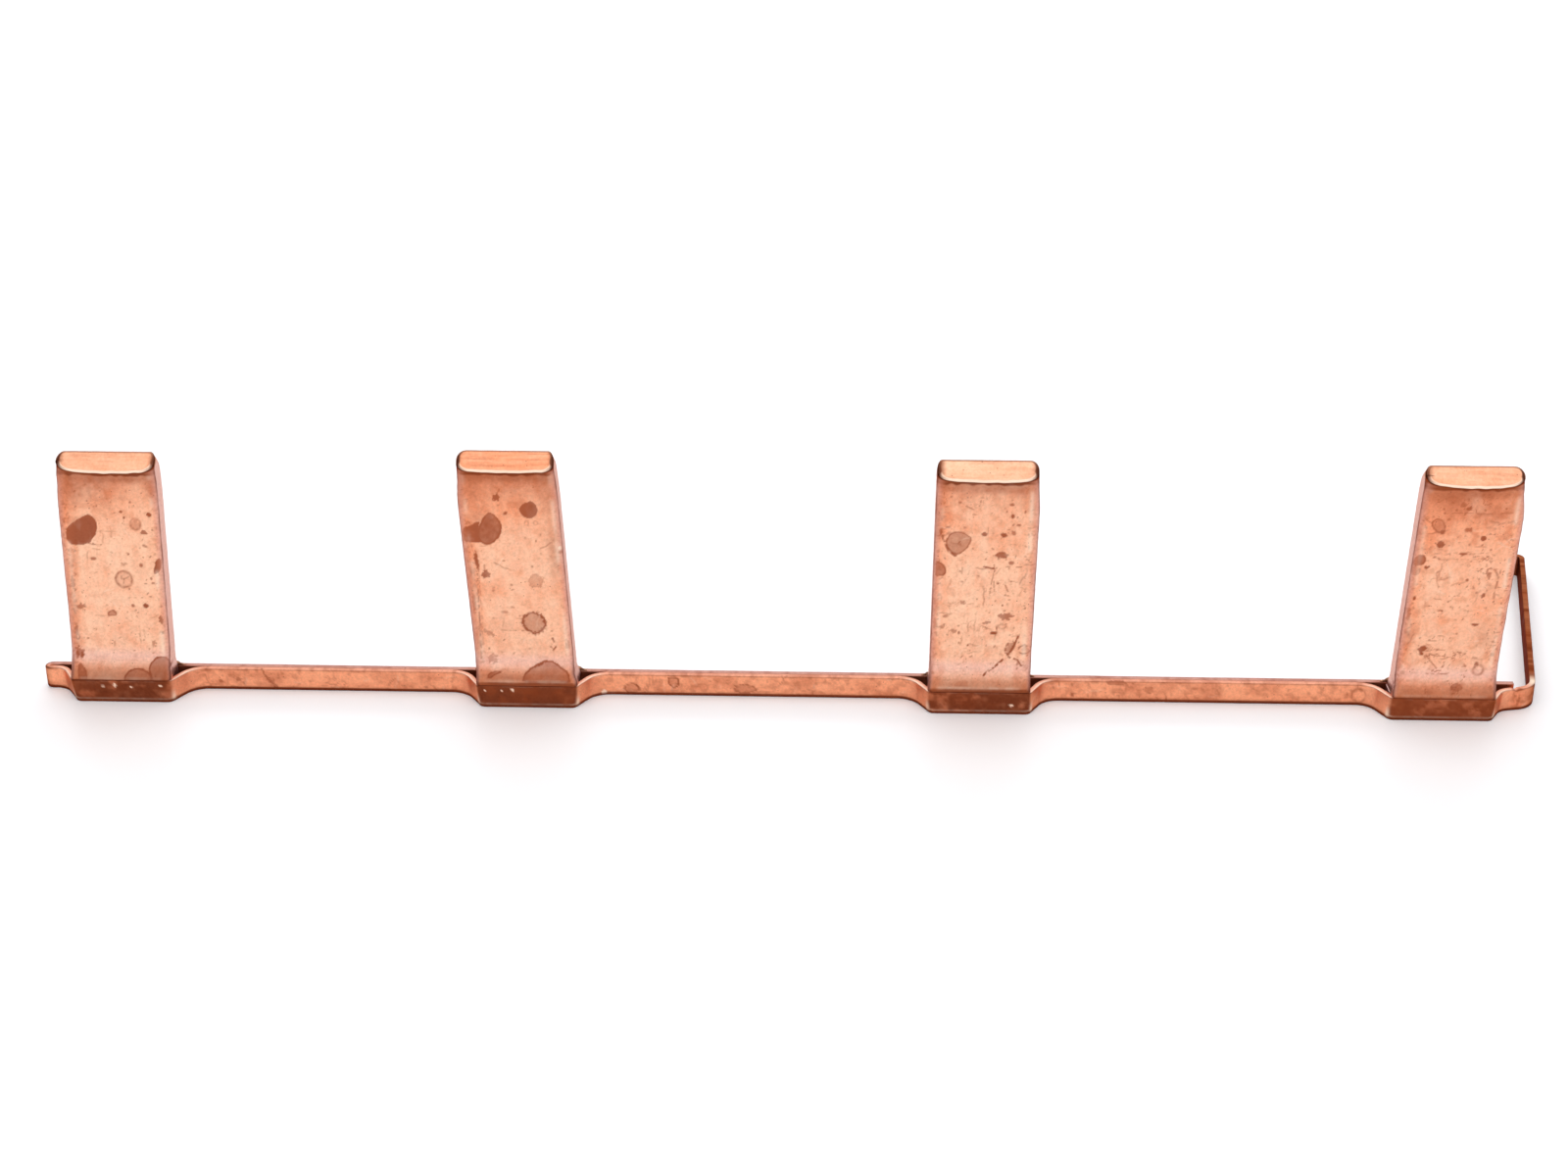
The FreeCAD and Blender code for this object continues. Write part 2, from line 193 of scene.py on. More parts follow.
def scratched(u, v, box, count, seed):
    """Fine scratches over box: amounts of dark and of light lines."""
    rng = np.random.default_rng(seed)
    shape = u.shape
    u, v = u.ravel(), v.ravel()
    out = np.zeros((2, len(u)))
    for i in range(count):
        cu, cv = rng.uniform(box[0], box[2]), rng.uniform(box[1], box[3])
        long = rng.uniform(0.3, 1.6)
        th = rng.choice([0.0, 1.45]) + rng.normal(0, 0.35)
        s, w, light = rng.uniform(0.25, 0.55), rng.uniform(0.05, 0.10), i % 3 == 0
        near = np.flatnonzero((np.abs(u - cu) < long + 0.2) & (np.abs(v - cv) < long + 0.2))
        dx, dy = u[near] - cu, v[near] - cv
        a = dx * math.cos(th) + dy * math.sin(th)
        b = dy * math.cos(th) - dx * math.sin(th) + 0.05 * np.sin(a * 5 + i)
        got = s * step(w + 0.06, w * 0.4, np.abs(b)) * step(long, long * 0.5, np.abs(a))
        out[int(light), near] = np.maximum(out[int(light), near], got)
    return out[0].reshape(shape), 0.7 * out[1].reshape(shape)


# Marks on the front of each blade, in mm from the blade's own middle line and
# from the table: film outlines, spots, rings, scratches, hazes (near the bend and
# along the side edges these are painted shade) and glints.
MARKS = {
    1: [
        ("film", 0.88, 0.1, 0.06, ((-5.44, 22.53), (-4.82, 23.1), (-3.99, 23.58), (-3.26, 24.15), (-2.56, 24.45), (-1.91, 24.04), (-1.56, 23.19), (-1.63, 22.33), (-1.98, 21.59), (-2.6, 20.84), (-3.44, 20.38), (-4.47, 20.32), (-5.24, 20.6), (-5.48, 21.42))),
        ("haze", 0.3, -4.33, 23.52, 1.37, 0.61),
        ("haze", 0.34, -2.54, 27.69, 2.94, 1.82),
        ("haze", 0.3, -4.56, 27.91, 1.13, 2.18),
        ("haze", 0.35, 5.49, 28.03, 0.79, 1.45),
        ("haze", 0.35, 0.93, 28.9, 4.96, 0.53),
        ("spot", 0.7, 0.0, 0.25, 1.43, 24.82, 0.18, 0.15, 0),
        ("line", 0.45, 0.09, ((0.4, 24.66), (1.27, 24.8))),
        ("spot", 0.7, 0.0, 0.25, 1.77, 24.04, 0.14, 0.17, 0),
        ("spot", 0.5, 0.0, 0.25, 2.65, 26.06, 0.14, 0.12, 0),
        ("spot", 0.72, 0.0, 0.25, 4.81, 24.45, 0.29, 0.32, 20),
        ("ring", 0.42, 0.22, 3.09, 23.2, 0.61, 0.71),
        ("spot", 0.2, 0.0, 0.5, 3.09, 23.13, 0.55, 0.59, 0),
        ("film", 0.62, 0.0, 0.04, ((3.51, 21.9), (3.84, 22.45), (4.05, 22.53), (4.33, 22.28), (4.67, 21.92))),
        ("line", 0.5, 0.16, ((5.54, 22.67), (6.07, 22.87))),
        ("spot", 0.42, 0.0, 0.25, 4.02, 20.33, 0.41, 0.17, -30),
        ("line", 0.6, 0.14, ((-2.85, 20.64), (-2.06, 20.52), (-1.31, 20.46))),
        ("line", 0.35, 0.09, ((-2.55, 19.97), (-1.54, 19.81))),
        ("spot", 0.5, 0.0, 0.25, -2.42, 18.61, 0.41, 0.22, 0),
        ("spot", 0.55, 0.0, 0.25, 1.92, 19.26, 0.14, 0.15, 0),
        ("spot", 0.5, 0.0, 0.25, 3.35, 17.79, 0.23, 0.27, 0),
        ("spot", 0.28, 0.0, 0.6, 1.23, 17.86, 0.37, 0.27, 0),
        ("film", 0.7, 0.08, 0.04, ((5.18, 18.46), (5.58, 18.72), (5.84, 18.47), (5.72, 17.6), (5.42, 16.84), (4.93, 16.61), (4.79, 16.96), (5.0, 17.71))),
        ("ring", 0.5, 0.14, 1.1, 15.91, 1.01, 1.08),
        ("line", 0.3, 0.11, ((1.1, 15.91), (0.74, 16.4))),
        ("line", 0.3, 0.11, ((1.1, 15.91), (1.76, 16.29))),
        ("line", 0.3, 0.11, ((1.1, 15.91), (0.99, 15.03))),
        ("spot", 0.12, 0.0, 0.4, 1.1, 15.91, 0.92, 1.0, 0),
        ("spot", 0.5, 0.0, 0.25, 4.45, 16.03, 0.14, 0.2, 0),
        ("spot", 0.4, 0.0, 0.25, 3.85, 15.87, 0.09, 0.13, 0),
        ("spot", 0.35, 0.0, 0.25, 4.69, 15.41, 0.23, 0.15, 0),
        ("line", 0.42, 0.08, ((1.34, 13.37), (2.26, 13.41), (3.21, 13.45))),
        ("spot", 0.65, 0.0, 0.25, 3.53, 12.37, 0.35, 0.3, 0),
        ("spot", 0.5, 0.0, 0.25, 1.96, 12.39, 0.25, 0.23, 0),
        ("spot", 0.5, 0.0, 0.25, 1.21, 11.5, 0.09, 0.1, 0),
        ("spot", 0.5, 0.0, 0.25, 2.48, 11.44, 0.09, 0.1, 0),
        ("film", 0.42, 0.1, 0.05, ((-1.37, 10.95), (-1.17, 11.54), (-0.68, 11.85), (-0.24, 11.55), (-0.1, 10.97), (-0.75, 10.88))),
        ("line", 0.32, 0.08, ((-2.87, 10.98), (-1.37, 10.95))),
        ("spot", 0.45, 0.0, 0.7, -4.45, 12.17, 0.51, 0.41, 20),
        ("spot", 0.4, 0.0, 0.8, -5.19, 15.44, 0.23, 0.65, 0),
        ("ring", 0.7, 0.35, -5.23, 8.01, 0.23, 0.31),
        ("spot", 0.45, 0.0, 0.8, -5.34, 8.98, 0.28, 0.51, 0),
        ("spot", 0.45, 0.0, 0.8, -5.1, 6.1, 0.47, 0.7, 30),
        ("spot", 0.5, 0.0, 0.8, -5.41, 5.75, 0.19, 0.57, 0),
        ("spot", 0.5, 0.0, 0.7, -4.83, 5.64, 0.23, 0.41, -20),
        ("haze", 0.3, -4.9, 18.32, 0.6, 1.5),
        ("haze", 0.28, -5.3, 13.05, 0.46, 3.29),
        ("haze", 0.3, -5.42, 7.95, 0.51, 2.31),
        ("spot", 0.5, 0.0, 0.5, 5.25, 10.41, 0.25, 0.61, 10),
        ("spot", 0.55, 0.0, 0.25, 5.31, 8.73, 0.14, 0.18, 0),
        ("spot", 0.35, 0.0, 0.7, 4.18, 7.33, 0.23, 0.41, -20),
        ("line", 0.35, 0.08, ((2.47, 9.6), (2.5, 8.33), (2.61, 7.0))),
        ("line", 0.3, 0.07, ((1.62, 9.08), (1.35, 8.44))),
        ("line", 0.25, 0.07, ((3.02, 9.1), (3.09, 8.08))),
        ("film", 0.46, 0.1, 0.08, ((-5.39, 4.81), (-4.85, 4.65), (-4.28, 3.93), (-3.98, 3.25), (-4.2, 2.49), (-5.13, 2.48))),
        ("film", 0.46, 0.26, 0.05, ((3.34, 4.12), (3.8, 5.02), (4.49, 5.56), (5.18, 5.66), (5.84, 5.4), (6.06, 4.89), (6.25, 3.75), (6.39, 2.66), (5.35, 2.51), (4.2, 2.62), (3.63, 3.53))),
        ("film", 0.4, 0.26, 0.05, ((0.46, 3.14), (0.75, 3.69), (1.29, 4.14), (2.09, 4.31), (2.92, 4.16), (3.53, 3.72), (3.93, 3.3), (3.97, 2.62), (2.09, 2.46), (0.59, 2.57))),
    ],
    2: [
        ("film", 0.62, 0.16, 0.06, ((-2.37, 25.44), (-1.74, 24.91), (-1.25, 24.19), (-1.12, 23.41), (-1.41, 22.48), (-2.06, 21.56), (-2.85, 21.06), (-3.52, 21.1), (-3.94, 21.41), (-4.21, 22.15), (-4.04, 23.18), (-3.59, 24.11), (-3.1, 24.85))),
        ("film", 0.7, 0.05, 0.06, ((-5.88, 23.27), (-5.02, 23.53), (-4.31, 23.9), (-3.68, 24.21), (-4.0, 23.18), (-4.14, 22.2), (-3.76, 21.42), (-4.45, 21.28), (-5.23, 21.4), (-6.06, 21.43))),
        ("haze", 0.22, -4.4, 24.15, 1.58, 1.46),
        ("film", 0.78, 0.08, 0.06, ((1.11, 25.92), (1.84, 26.61), (2.69, 26.86), (3.21, 26.38), (3.38, 25.58), (2.91, 24.78), (2.19, 24.5), (1.55, 24.83), (1.21, 25.39))),
        ("haze", 0.25, 0.98, 26.52, 0.9, 0.36),
        ("spot", 0.6, 0.0, 0.4, -1.48, 27.22, 0.47, 0.48, 20),
        ("line", 0.35, 0.18, ((-1.38, 27.58), (-0.98, 28.26))),
        ("spot", 0.6, 0.0, 0.5, -0.55, 25.24, 0.31, 0.19, 25),
        ("ring", 0.35, 0.3, 1.87, 23.94, 0.22, 0.27),
        ("ring", 0.32, 0.3, 2.95, 24.0, 0.25, 0.24),
        ("haze", 0.34, -4.65, 28.5, 1.34, 2.17),
        ("haze", 0.34, 4.68, 27.9, 1.34, 2.65),
        ("haze", 0.42, 0.37, 29.64, 5.13, 0.62),
        ("haze", 0.18, 0.45, 28.08, 2.46, 0.96),
        ("haze", 0.4, 4.83, 20.35, 0.77, 3.7),
        ("spot", 0.55, 0.0, 0.5, -3.72, 17.19, 0.52, 0.5, 0),
        ("line", 0.4, 0.16, ((-3.78, 18.46), (-3.78, 17.51))),
        ("spot", 0.2, 0.08, 0.3, 2.29, 16.36, 0.91, 0.87, 0),
        ("spot", 0.3, 0.28, 0.15, 1.46, 10.77, 1.47, 1.44, 0),
        ("spot", 0.35, 0.0, 0.25, -1.91, 12.16, 0.43, 0.18, 0),
        ("spot", 0.35, 0.0, 0.25, -0.94, 12.81, 0.25, 0.15, 0),
        ("line", 0.36, 0.11, ((-2.59, 9.75), (-1.22, 9.69), (0.09, 9.69))),
        ("haze", 0.14, -2.33, 10.13, 1.84, 0.76),
        ("line", 0.55, 0.16, ((-4.65, 20.22), (-4.7, 18.74), (-4.8, 16.26), (-4.96, 13.75), (-5.11, 11.23), (-5.26, 8.69), (-5.41, 5.96))),
        ("line", 0.3, 0.09, ((-4.48, 18.25), (-4.65, 15.01), (-4.83, 11.24), (-5.06, 7.42))),
        ("spot", 0.6, 0.0, 0.5, -4.68, 18.99, 0.25, 1.04, 5),
        ("spot", 0.45, 0.0, 0.7, -5.48, 17.74, 0.14, 0.75, 0),
        ("spot", 0.4, 0.0, 0.7, -5.55, 13.24, 0.21, 1.26, 0),
        ("haze", 0.28, -5.51, 16.25, 0.5, 4.99),
        ("haze", 0.3, -5.63, 7.92, 0.6, 2.3),
        ("spot", 0.32, 0.0, 0.5, -4.23, 9.34, 0.69, 0.28, -35),
        ("spot", 0.6, 0.0, 0.6, 3.61, 8.52, 0.16, 0.31, 20),
        ("line", 0.6, 0.16, ((3.23, 7.55), (3.49, 7.1), (3.87, 7.56))),
        ("spot", 0.4, 0.0, 0.6, 5.32, 7.83, 0.28, 0.56, 0),
        ("spot", 0.3, 0.0, 0.25, 0.63, 7.25, 0.18, 0.13, 0),
        ("spot", 0.28, 0.0, 0.7, -4.08, 5.87, 0.6, 0.55, 0),
        ("glint", 0.9, 5.58, 20.71, 0.2, 0.25),
        ("spot", 0.5, 0.0, 0.25, 5.6, 20.16, 0.32, 0.2, 0),
        ("film", 0.4, 0.34, 0.05, ((-0.52, 3.2), (-0.42, 3.87), (0.01, 4.45), (0.95, 5.1), (2.13, 5.65), (2.51, 5.8), (3.29, 5.81), (3.84, 5.34), (4.63, 4.87), (5.19, 4.35), (5.36, 3.65), (5.47, 3.26))),
        ("film", 0.42, 0.12, 0.05, ((-4.89, 3.66), (-4.61, 4.19), (-3.79, 4.51), (-2.76, 4.42), (-3.23, 4.2), (-3.92, 4.03), (-4.39, 3.67))),
        ("haze", 0.26, -2.77, 3.75, 2.31, 0.43),
        ("line", 0.55, 0.16, ((2.59, 5.73), (2.0, 5.34), (1.06, 4.89))),
    ],
    3: [
        ("film", 0.4, 0.14, 0.06, ((-4.42, 23.13), (-3.55, 23.6), (-2.43, 23.4), (-1.69, 22.8), (-1.81, 22.06), (-2.22, 21.2), (-3.19, 20.53), (-3.98, 20.74), (-4.56, 21.42), (-4.82, 22.15))),
        ("line", 0.62, 0.29, ((-5.44, 23.74), (-5.19, 22.99), (-4.86, 22.15), (-4.37, 21.05), (-3.63, 20.45), (-3.19, 20.53))),
        ("spot", 0.5, 0.0, 0.25, -5.37, 23.48, 0.18, 0.39, 0),
        ("spot", 0.4, 0.0, 0.25, -4.57, 24.05, 0.31, 0.15, 0),
        ("line", 0.45, 0.18, ((-4.97, 23.12), (-4.31, 23.25), (-3.99, 23.57))),
        ("film", 0.5, 0.16, 0.06, ((-5.87, 19.56), (-5.27, 19.57), (-4.73, 19.08), (-4.52, 18.35), (-4.85, 17.73), (-5.41, 17.62), (-5.84, 17.71))),
        ("spot", 0.62, 0.0, 0.4, -0.24, 23.23, 0.36, 0.32, 0),
        ("spot", 0.62, 0.0, 0.4, 2.09, 23.16, 0.4, 0.27, 0),
        ("spot", 0.7, 0.0, 0.25, 3.04, 25.6, 0.22, 0.29, 0),
        ("spot", 0.5, 0.0, 0.25, 2.31, 26.17, 0.11, 0.12, 0),
        ("spot", 0.5, 0.0, 0.25, 3.82, 24.45, 0.29, 0.17, 0),
        ("spot", 0.45, 0.0, 0.6, 3.27, 23.42, 0.2, 0.29, 20),
        ("spot", 0.5, 0.0, 0.25, 2.87, 27.09, 0.31, 0.17, 0),
        ("spot", 0.5, 0.0, 0.25, 3.63, 25.46, 0.11, 0.12, 0),
        ("spot", 0.45, 0.0, 0.25, 4.52, 26.15, 0.11, 0.22, 0),
        ("line", 0.5, 0.11, ((-2.48, 26.83), (-1.5, 26.31))),
        ("spot", 0.4, 0.0, 0.25, -3.27, 27.3, 0.22, 0.19, 0),
        ("line", 0.4, 0.09, ((-0.93, 26.8), (-0.77, 27.57))),
        ("spot", 0.55, 0.06, 0.35, 1.94, 20.53, 0.73, 0.39, 0),
        ("spot", 0.48, 0.0, 0.25, 3.17, 19.56, 0.36, 0.25, 0),
        ("line", 0.75, 0.18, ((-0.35, 19.07), (0.24, 18.91), (0.87, 18.82), (1.41, 18.8))),
        ("line", 0.5, 0.09, ((1.07, 19.29), (1.25, 18.45))),
        ("line", 0.5, 0.09, ((2.13, 19.01), (3.14, 19.04), (4.39, 19.01))),
        ("line", 0.5, 0.09, ((1.2, 18.45), (0.95, 17.19), (0.75, 15.52))),
        ("line", 0.45, 0.09, ((1.15, 17.31), (1.31, 15.83))),
        ("line", 0.5, 0.11, ((2.55, 16.64), (2.91, 15.85), (3.3, 15.11), (2.62, 15.3))),
        ("spot", 0.6, 0.0, 0.25, 1.69, 16.83, 0.16, 0.15, 0),
        ("line", 0.22, 0.09, ((-1.75, 18.51), (-2.14, 17.27), (-2.97, 15.77))),
        ("spot", 0.42, 0.0, 0.6, -2.45, 14.23, 0.34, 0.25, 0),
        ("spot", 0.75, 0.0, 0.25, 2.36, 13.93, 0.11, 0.12, 0),
        ("line", 0.55, 0.11, ((2.21, 13.28), (3.0, 13.19), (4.04, 13.23))),
        ("spot", 0.48, 0.0, 0.6, 2.82, 12.41, 0.81, 0.45, 10),
        ("ring", 0.4, 0.3, 2.44, 11.1, 0.45, 0.28),
        ("spot", 0.45, 0.0, 0.8, 0.61, 11.57, 0.41, 0.23, 0),
        ("spot", 0.68, 0.0, 0.25, 1.47, 10.2, 0.45, 0.2, 0),
        ("spot", 0.4, 0.0, 0.8, -4.9, 10.94, 0.36, 0.25, 0),
        ("spot", 0.38, 0.0, 0.9, -3.45, 10.38, 0.36, 0.3, 0),
        ("spot", 0.4, 0.0, 0.7, -4.45, 12.45, 0.32, 0.18, 0),
        ("spot", 0.5, 0.0, 0.25, -2.72, 10.21, 0.14, 0.2, 0),
        ("spot", 0.65, 0.0, 0.25, -1.55, 8.51, 0.11, 0.13, 0),
        ("spot", 0.35, 0.0, 0.8, -5.6, 11.36, 0.27, 0.75, 0),
        ("line", 0.8, 0.2, ((0.47, 4.74), (1.18, 5.35), (2.02, 5.97), (2.78, 6.69), (3.33, 7.19), (3.95, 8.34), (4.38, 9.49), (4.68, 10.68))),
        ("line", 0.62, 0.18, ((2.94, 8.07), (3.49, 9.3), (4.13, 9.05), (3.85, 8.08), (3.38, 7.12), (2.94, 8.07))),
        ("spot", 0.35, 0.0, 0.5, 3.54, 8.21, 0.41, 0.91, -30),
        ("line", 0.7, 0.18, ((3.38, 7.02), (4.03, 6.78), (4.54, 6.65), (5.02, 5.9))),
        ("line", 0.5, 0.11, ((4.61, 6.6), (4.49, 5.55))),
        ("line", 0.6, 0.16, ((4.63, 8.3), (5.29, 8.66), (6.22, 8.22), (5.85, 7.56), (5.13, 7.44), (4.71, 7.64))),
        ("spot", 0.28, 0.0, 0.6, 5.43, 8.06, 0.54, 0.41, 0),
        ("haze", 0.4, -0.26, 28.92, 4.18, 0.53),
        ("haze", 0.3, 3.94, 28.54, 1.32, 0.72),
        ("haze", 0.3, -5.34, 29.14, 0.66, 0.72),
        ("haze", 0.22, -5.32, 26.02, 0.53, 2.17),
        ("haze", 0.22, 5.37, 26.64, 0.44, 2.16),
    ],
    4: [
        ("spot", 0.92, 0.0, 0.4, -0.36, 27.24, 0.3, 0.26, 0),
        ("spot", 0.35, 0.0, 0.5, -1.15, 27.76, 0.35, 0.33, 0),
        ("haze", 0.3, -1.37, 27.76, 2.61, 1.43),
        ("haze", 0.3, 2.75, 26.37, 2.4, 1.2),
        ("haze", 0.34, -3.21, 28.45, 2.39, 0.59),
        ("haze", 0.34, 0.2, 28.97, 4.12, 0.57),
        ("film", 0.28, 0.2, 0.06, ((-4.57, 25.56), (-3.97, 26.0), (-3.18, 25.82), (-2.86, 25.1), (-2.8, 24.14), (-3.36, 23.89), (-3.97, 24.36), (-4.44, 24.96))),
        ("spot", 0.5, 0.0, 0.25, -3.07, 24.21, 0.26, 0.29, 0),
        ("spot", 0.35, 0.0, 0.25, -2.59, 25.83, 0.26, 0.14, 0),
        ("line", 0.35, 0.11, ((-5.25, 25.79), (-4.53, 25.32))),
        ("line", 0.28, 0.13, ((-3.17, 26.59), (-0.79, 26.71), (1.84, 26.6), (4.76, 26.78))),
        ("line", 0.34, 0.17, ((2.42, 25.65), (3.77, 25.38), (5.03, 25.68))),
        ("line", 0.25, 0.11, ((0.81, 24.67), (2.09, 24.88), (3.64, 24.7))),
        ("spot", 0.62, 0.0, 0.5, -3.13, 22.68, 0.5, 0.44, 0),
        ("spot", 0.72, 0.0, 0.4, 1.78, 23.47, 0.31, 0.29, 0),
        ("spot", 0.45, 0.0, 0.8, -0.04, 24.46, 0.35, 0.29, 0),
        ("film", 0.62, 0.12, 0.06, ((-5.92, 20.46), (-5.73, 21.07), (-5.15, 21.34), (-4.59, 21.08), (-4.42, 20.48), (-4.7, 19.94), (-5.45, 19.78), (-5.81, 19.97))),
        ("film", 0.3, 0.08, 0.06, ((-6.04, 18.99), (-5.89, 19.77), (-5.11, 19.69), (-4.85, 19.0), (-5.28, 18.46), (-5.94, 18.62))),
        ("spot", 0.72, 0.0, 0.5, -4.26, 19.6, 0.31, 0.22, 0),
        ("spot", 0.7, 0.0, 0.25, -0.28, 21.43, 0.44, 0.15, 0),
        ("line", 0.35, 0.09, ((-3.58, 21.46), (-2.25, 21.33), (-1.39, 21.54), (0.38, 21.42), (2.12, 21.59), (3.47, 21.31))),
        ("line", 0.28, 0.09, ((-5.18, 21.93), (-3.88, 22.07), (-2.54, 21.91))),
        ("line", 0.22, 0.09, ((-4.33, 20.48), (-2.17, 20.8), (0.48, 20.69), (3.1, 20.87))),
        ("line", 0.5, 0.18, ((2.88, 18.99), (2.9, 19.45), (3.28, 19.61), (3.84, 19.37), (4.32, 18.52), (4.3, 17.41), (4.14, 16.67), (4.26, 15.19))),
        ("spot", 0.4, 0.0, 0.5, 3.18, 18.75, 0.26, 0.34, 0),
        ("spot", 0.6, 0.0, 0.25, 0.74, 18.05, 0.18, 0.17, 0),
        ("spot", 0.75, 0.0, 0.25, -5.17, 15.55, 0.2, 0.25, 0),
        ("spot", 0.5, 0.0, 0.25, 2.08, 16.4, 0.13, 0.15, 0),
        ("spot", 0.6, 0.0, 0.6, 2.9, 16.04, 0.24, 0.27, 0),
        ("line", 0.78, 0.13, ((-2.59, 13.66), (-2.3, 13.81), (-2.03, 14.11), (-1.6, 13.92))),
        ("spot", 0.68, 0.0, 0.5, 2.51, 12.18, 0.44, 0.22, -10),
        ("spot", 0.45, 0.0, 0.7, -5.52, 13.44, 0.24, 0.65, 0),
        ("spot", 0.55, 0.0, 0.25, 5.75, 12.43, 0.13, 0.15, 0),
        ("line", 0.62, 0.2, ((-6.15, 12.31), (-6.14, 11.31), (-6.15, 10.18))),
        ("haze", 0.42, -5.15, 10.57, 0.49, 1.5),
        ("spot", 0.4, 0.0, 0.25, 4.45, 19.13, 0.11, 0.34, 0),
        ("spot", 0.35, 0.0, 0.25, 5.29, 20.61, 0.13, 0.29, 0),
        ("spot", 0.78, 0.0, 0.6, -3.28, 8.79, 0.54, 0.5, 20),
        ("spot", 0.7, 0.0, 0.25, -3.27, 8.2, 0.27, 0.2, 0),
        ("line", 0.3, 0.16, ((-2.92, 8.89), (-1.67, 8.81), (-0.54, 8.73))),
        ("line", 0.5, 0.11, ((-2.7, 8.09), (-2.02, 7.21), (-1.21, 6.33))),
        ("line", 0.3, 0.09, ((-2.17, 8.35), (-0.76, 6.99))),
        ("haze", 0.22, 3.92, 10.45, 1.34, 1.5),
        ("spot", 0.72, 0.0, 0.5, 3.51, 6.93, 0.29, 0.24, 0),
        ("ring", 0.42, 0.25, 3.82, 6.17, 0.63, 0.6),
        ("spot", 0.35, 0.0, 0.7, 3.19, 7.67, 0.27, 0.2, 0),
        ("line", 0.35, 0.09, ((4.01, 11.33), (4.36, 10.46), (4.32, 9.45))),
        ("line", 0.4, 0.11, ((-2.31, 5.68), (-1.3, 5.62), (0.31, 5.71))),
        ("spot", 0.36, 0.08, 0.2, 1.37, 4.13, 0.67, 0.42, 0),
        ("spot", 0.35, 0.0, 0.9, -5.88, 6.55, 0.31, 1.43, 0),
        ("spot", 0.4, 0.0, 0.6, 5.24, 8.21, 0.27, 0.25, 0),
        ("line", 0.35, 0.13, ((-2.34, 2.77), (-0.52, 2.65), (0.84, 2.54))),
        ("line", 0.55, 0.2, ((0.83, 2.59), (2.19, 2.51), (3.52, 2.66))),
    ],
}

# ------------------------------------------------------------- mesh tool ---


def grid_piece(name, rings, close_start, close_end, paint, tone, rows=1):
    """A closed sweep: rings is (stations, around, 3) in mm. Each end ring is
    closed by the quads between its two paired runs. The unwrapped sweep is laid
    out in rows."""
    s, p, _ = rings.shape
    verts = rings.reshape(-1, 3) * MM
    i = np.arange(s - 1)[:, None]
    j = np.arange(p)[None, :]
    k = (j + 1) % p
    faces = [np.stack([i * p + j, i * p + k, i * p + p + k, i * p + p + j], -1).reshape(-1, 4)]
    per = -(-(s - 1) // rows)
    row = i // per
    across = lambda q: 0.01 + 0.98 * (q - row * per) / per + 0 * j
    upward = lambda q: 0.97 * (row + 0.03 + 0.94 * q / p) / rows
    flat = [np.stack([across(i), upward(j), across(i), upward(j + 1), across(i + 1),
                      upward(j + 1), across(i + 1), upward(j)], -1).reshape(-1, 8)]
    for (a, b), base, flip in ((close_start, 0, True), (close_end, (s - 1) * p, False)):
        a, b = np.asarray(a) % p + base, np.asarray(b) % p + base
        cap = np.stack([a[:-1], a[1:], b[1:], b[:-1]], -1)
        n = np.arange(len(cap)) / len(cap)
        x0 = 0.01 + 0.48 * n + (0.0 if flip else 0.5)
        x1 = x0 + 0.48 / len(cap)
        lo, hi = 0.978 + 0 * n, 0.995 + 0 * n
        uv = np.stack([x0, lo, x1, lo, x1, hi, x0, hi], -1)
        faces.append(cap[:, ::-1] if flip else cap)
        flat.append(uv.reshape(-1, 4, 2)[:, ::-1].reshape(-1, 8) if flip else uv)
    faces, flat = np.concatenate(faces), np.concatenate(flat)
    mesh = bpy.data.meshes.new(name)
    mesh.vertices.add(len(verts))
    mesh.vertices.foreach_set("co", verts.ravel())
    mesh.loops.add(faces.size)
    mesh.loops.foreach_set("vertex_index", faces.ravel())
    mesh.polygons.add(len(faces))
    mesh.polygons.foreach_set("loop_start", np.arange(len(faces)) * 4)
    mesh.polygons.foreach_set("use_smooth", np.full(len(faces), True))
    mesh.update(calc_edges=True)
    mesh.uv_layers.new(name="OFBake").data.foreach_set("uv", flat.astype(np.float32).ravel())
    for label, data in (("paint", paint), ("tone", tone)):
        layer = mesh.attributes.new(label, "FLOAT_COLOR", "POINT")
        full = np.ones((s * p, 4), np.float32)
        full[:, :3] = np.clip(data.reshape(-1, 3), 0, 1)
        layer.data.foreach_set("color", full.ravel())
    obj = bpy.data.objects.new(name, mesh)
    bpy.context.scene.collection.objects.link(obj)
    return obj


# ----------------------------------------------------------------- sizes ---
OX, OY = 4.6206, 18.075           # rail datum to the row frame, mm
STRIP_T, STRIP_H, LAYER_GAP = 0.70, 2.92, 0.04
TOE_FRONT, FLARE, FLARE_R, CORNER_R = 3.73, 60.0, 3.20, 0.47
BLADE_W, BLADE_T, BEND_R, TOE_W = 12.5, 2.80, 2.60, 11.35
SWEEP_H, SWEEP_R = 4.60, 7.376
BACK_Y = 0.70 + 0.04 - OY         # back of the blades
WEB_Y = BACK_Y - BLADE_T
TOE_Y = -TOE_FRONT + STRIP_T - OY
# middle at the foot, height of the bend, lean, how far the corners of the cut
# end fall back left and right, and how strong the upper end's painted shade is
BLADES = {1: (-80.68 - OX, 28.38, 1.10, 0.42, 0.32, 0.75),
          2: (-30.47 - OX, 29.04, -1.60, 0.22, 0.16, 1.00),
          3: (24.80 - OX, 28.50, 0.40, 0.28, 0.22, 0.50),
          4: (80.97 - OX, 28.45, 1.20, 0.40, 0.42, 1.00)}
# how far the front edge of the cut end bows back to its left and right corner
BOW = {1: (0.58, 0.30), 2: (0.22, 0.18), 3: (0.26, 0.28), 4: (0.58, 0.48)}
# how far the lower corners of each toe are set over, left and right
SET_OVER = {1: (0.58, 0.0), 2: (0.42, -0.24), 3: (0.20, 0.0), 4: (-0.30, -0.25)}

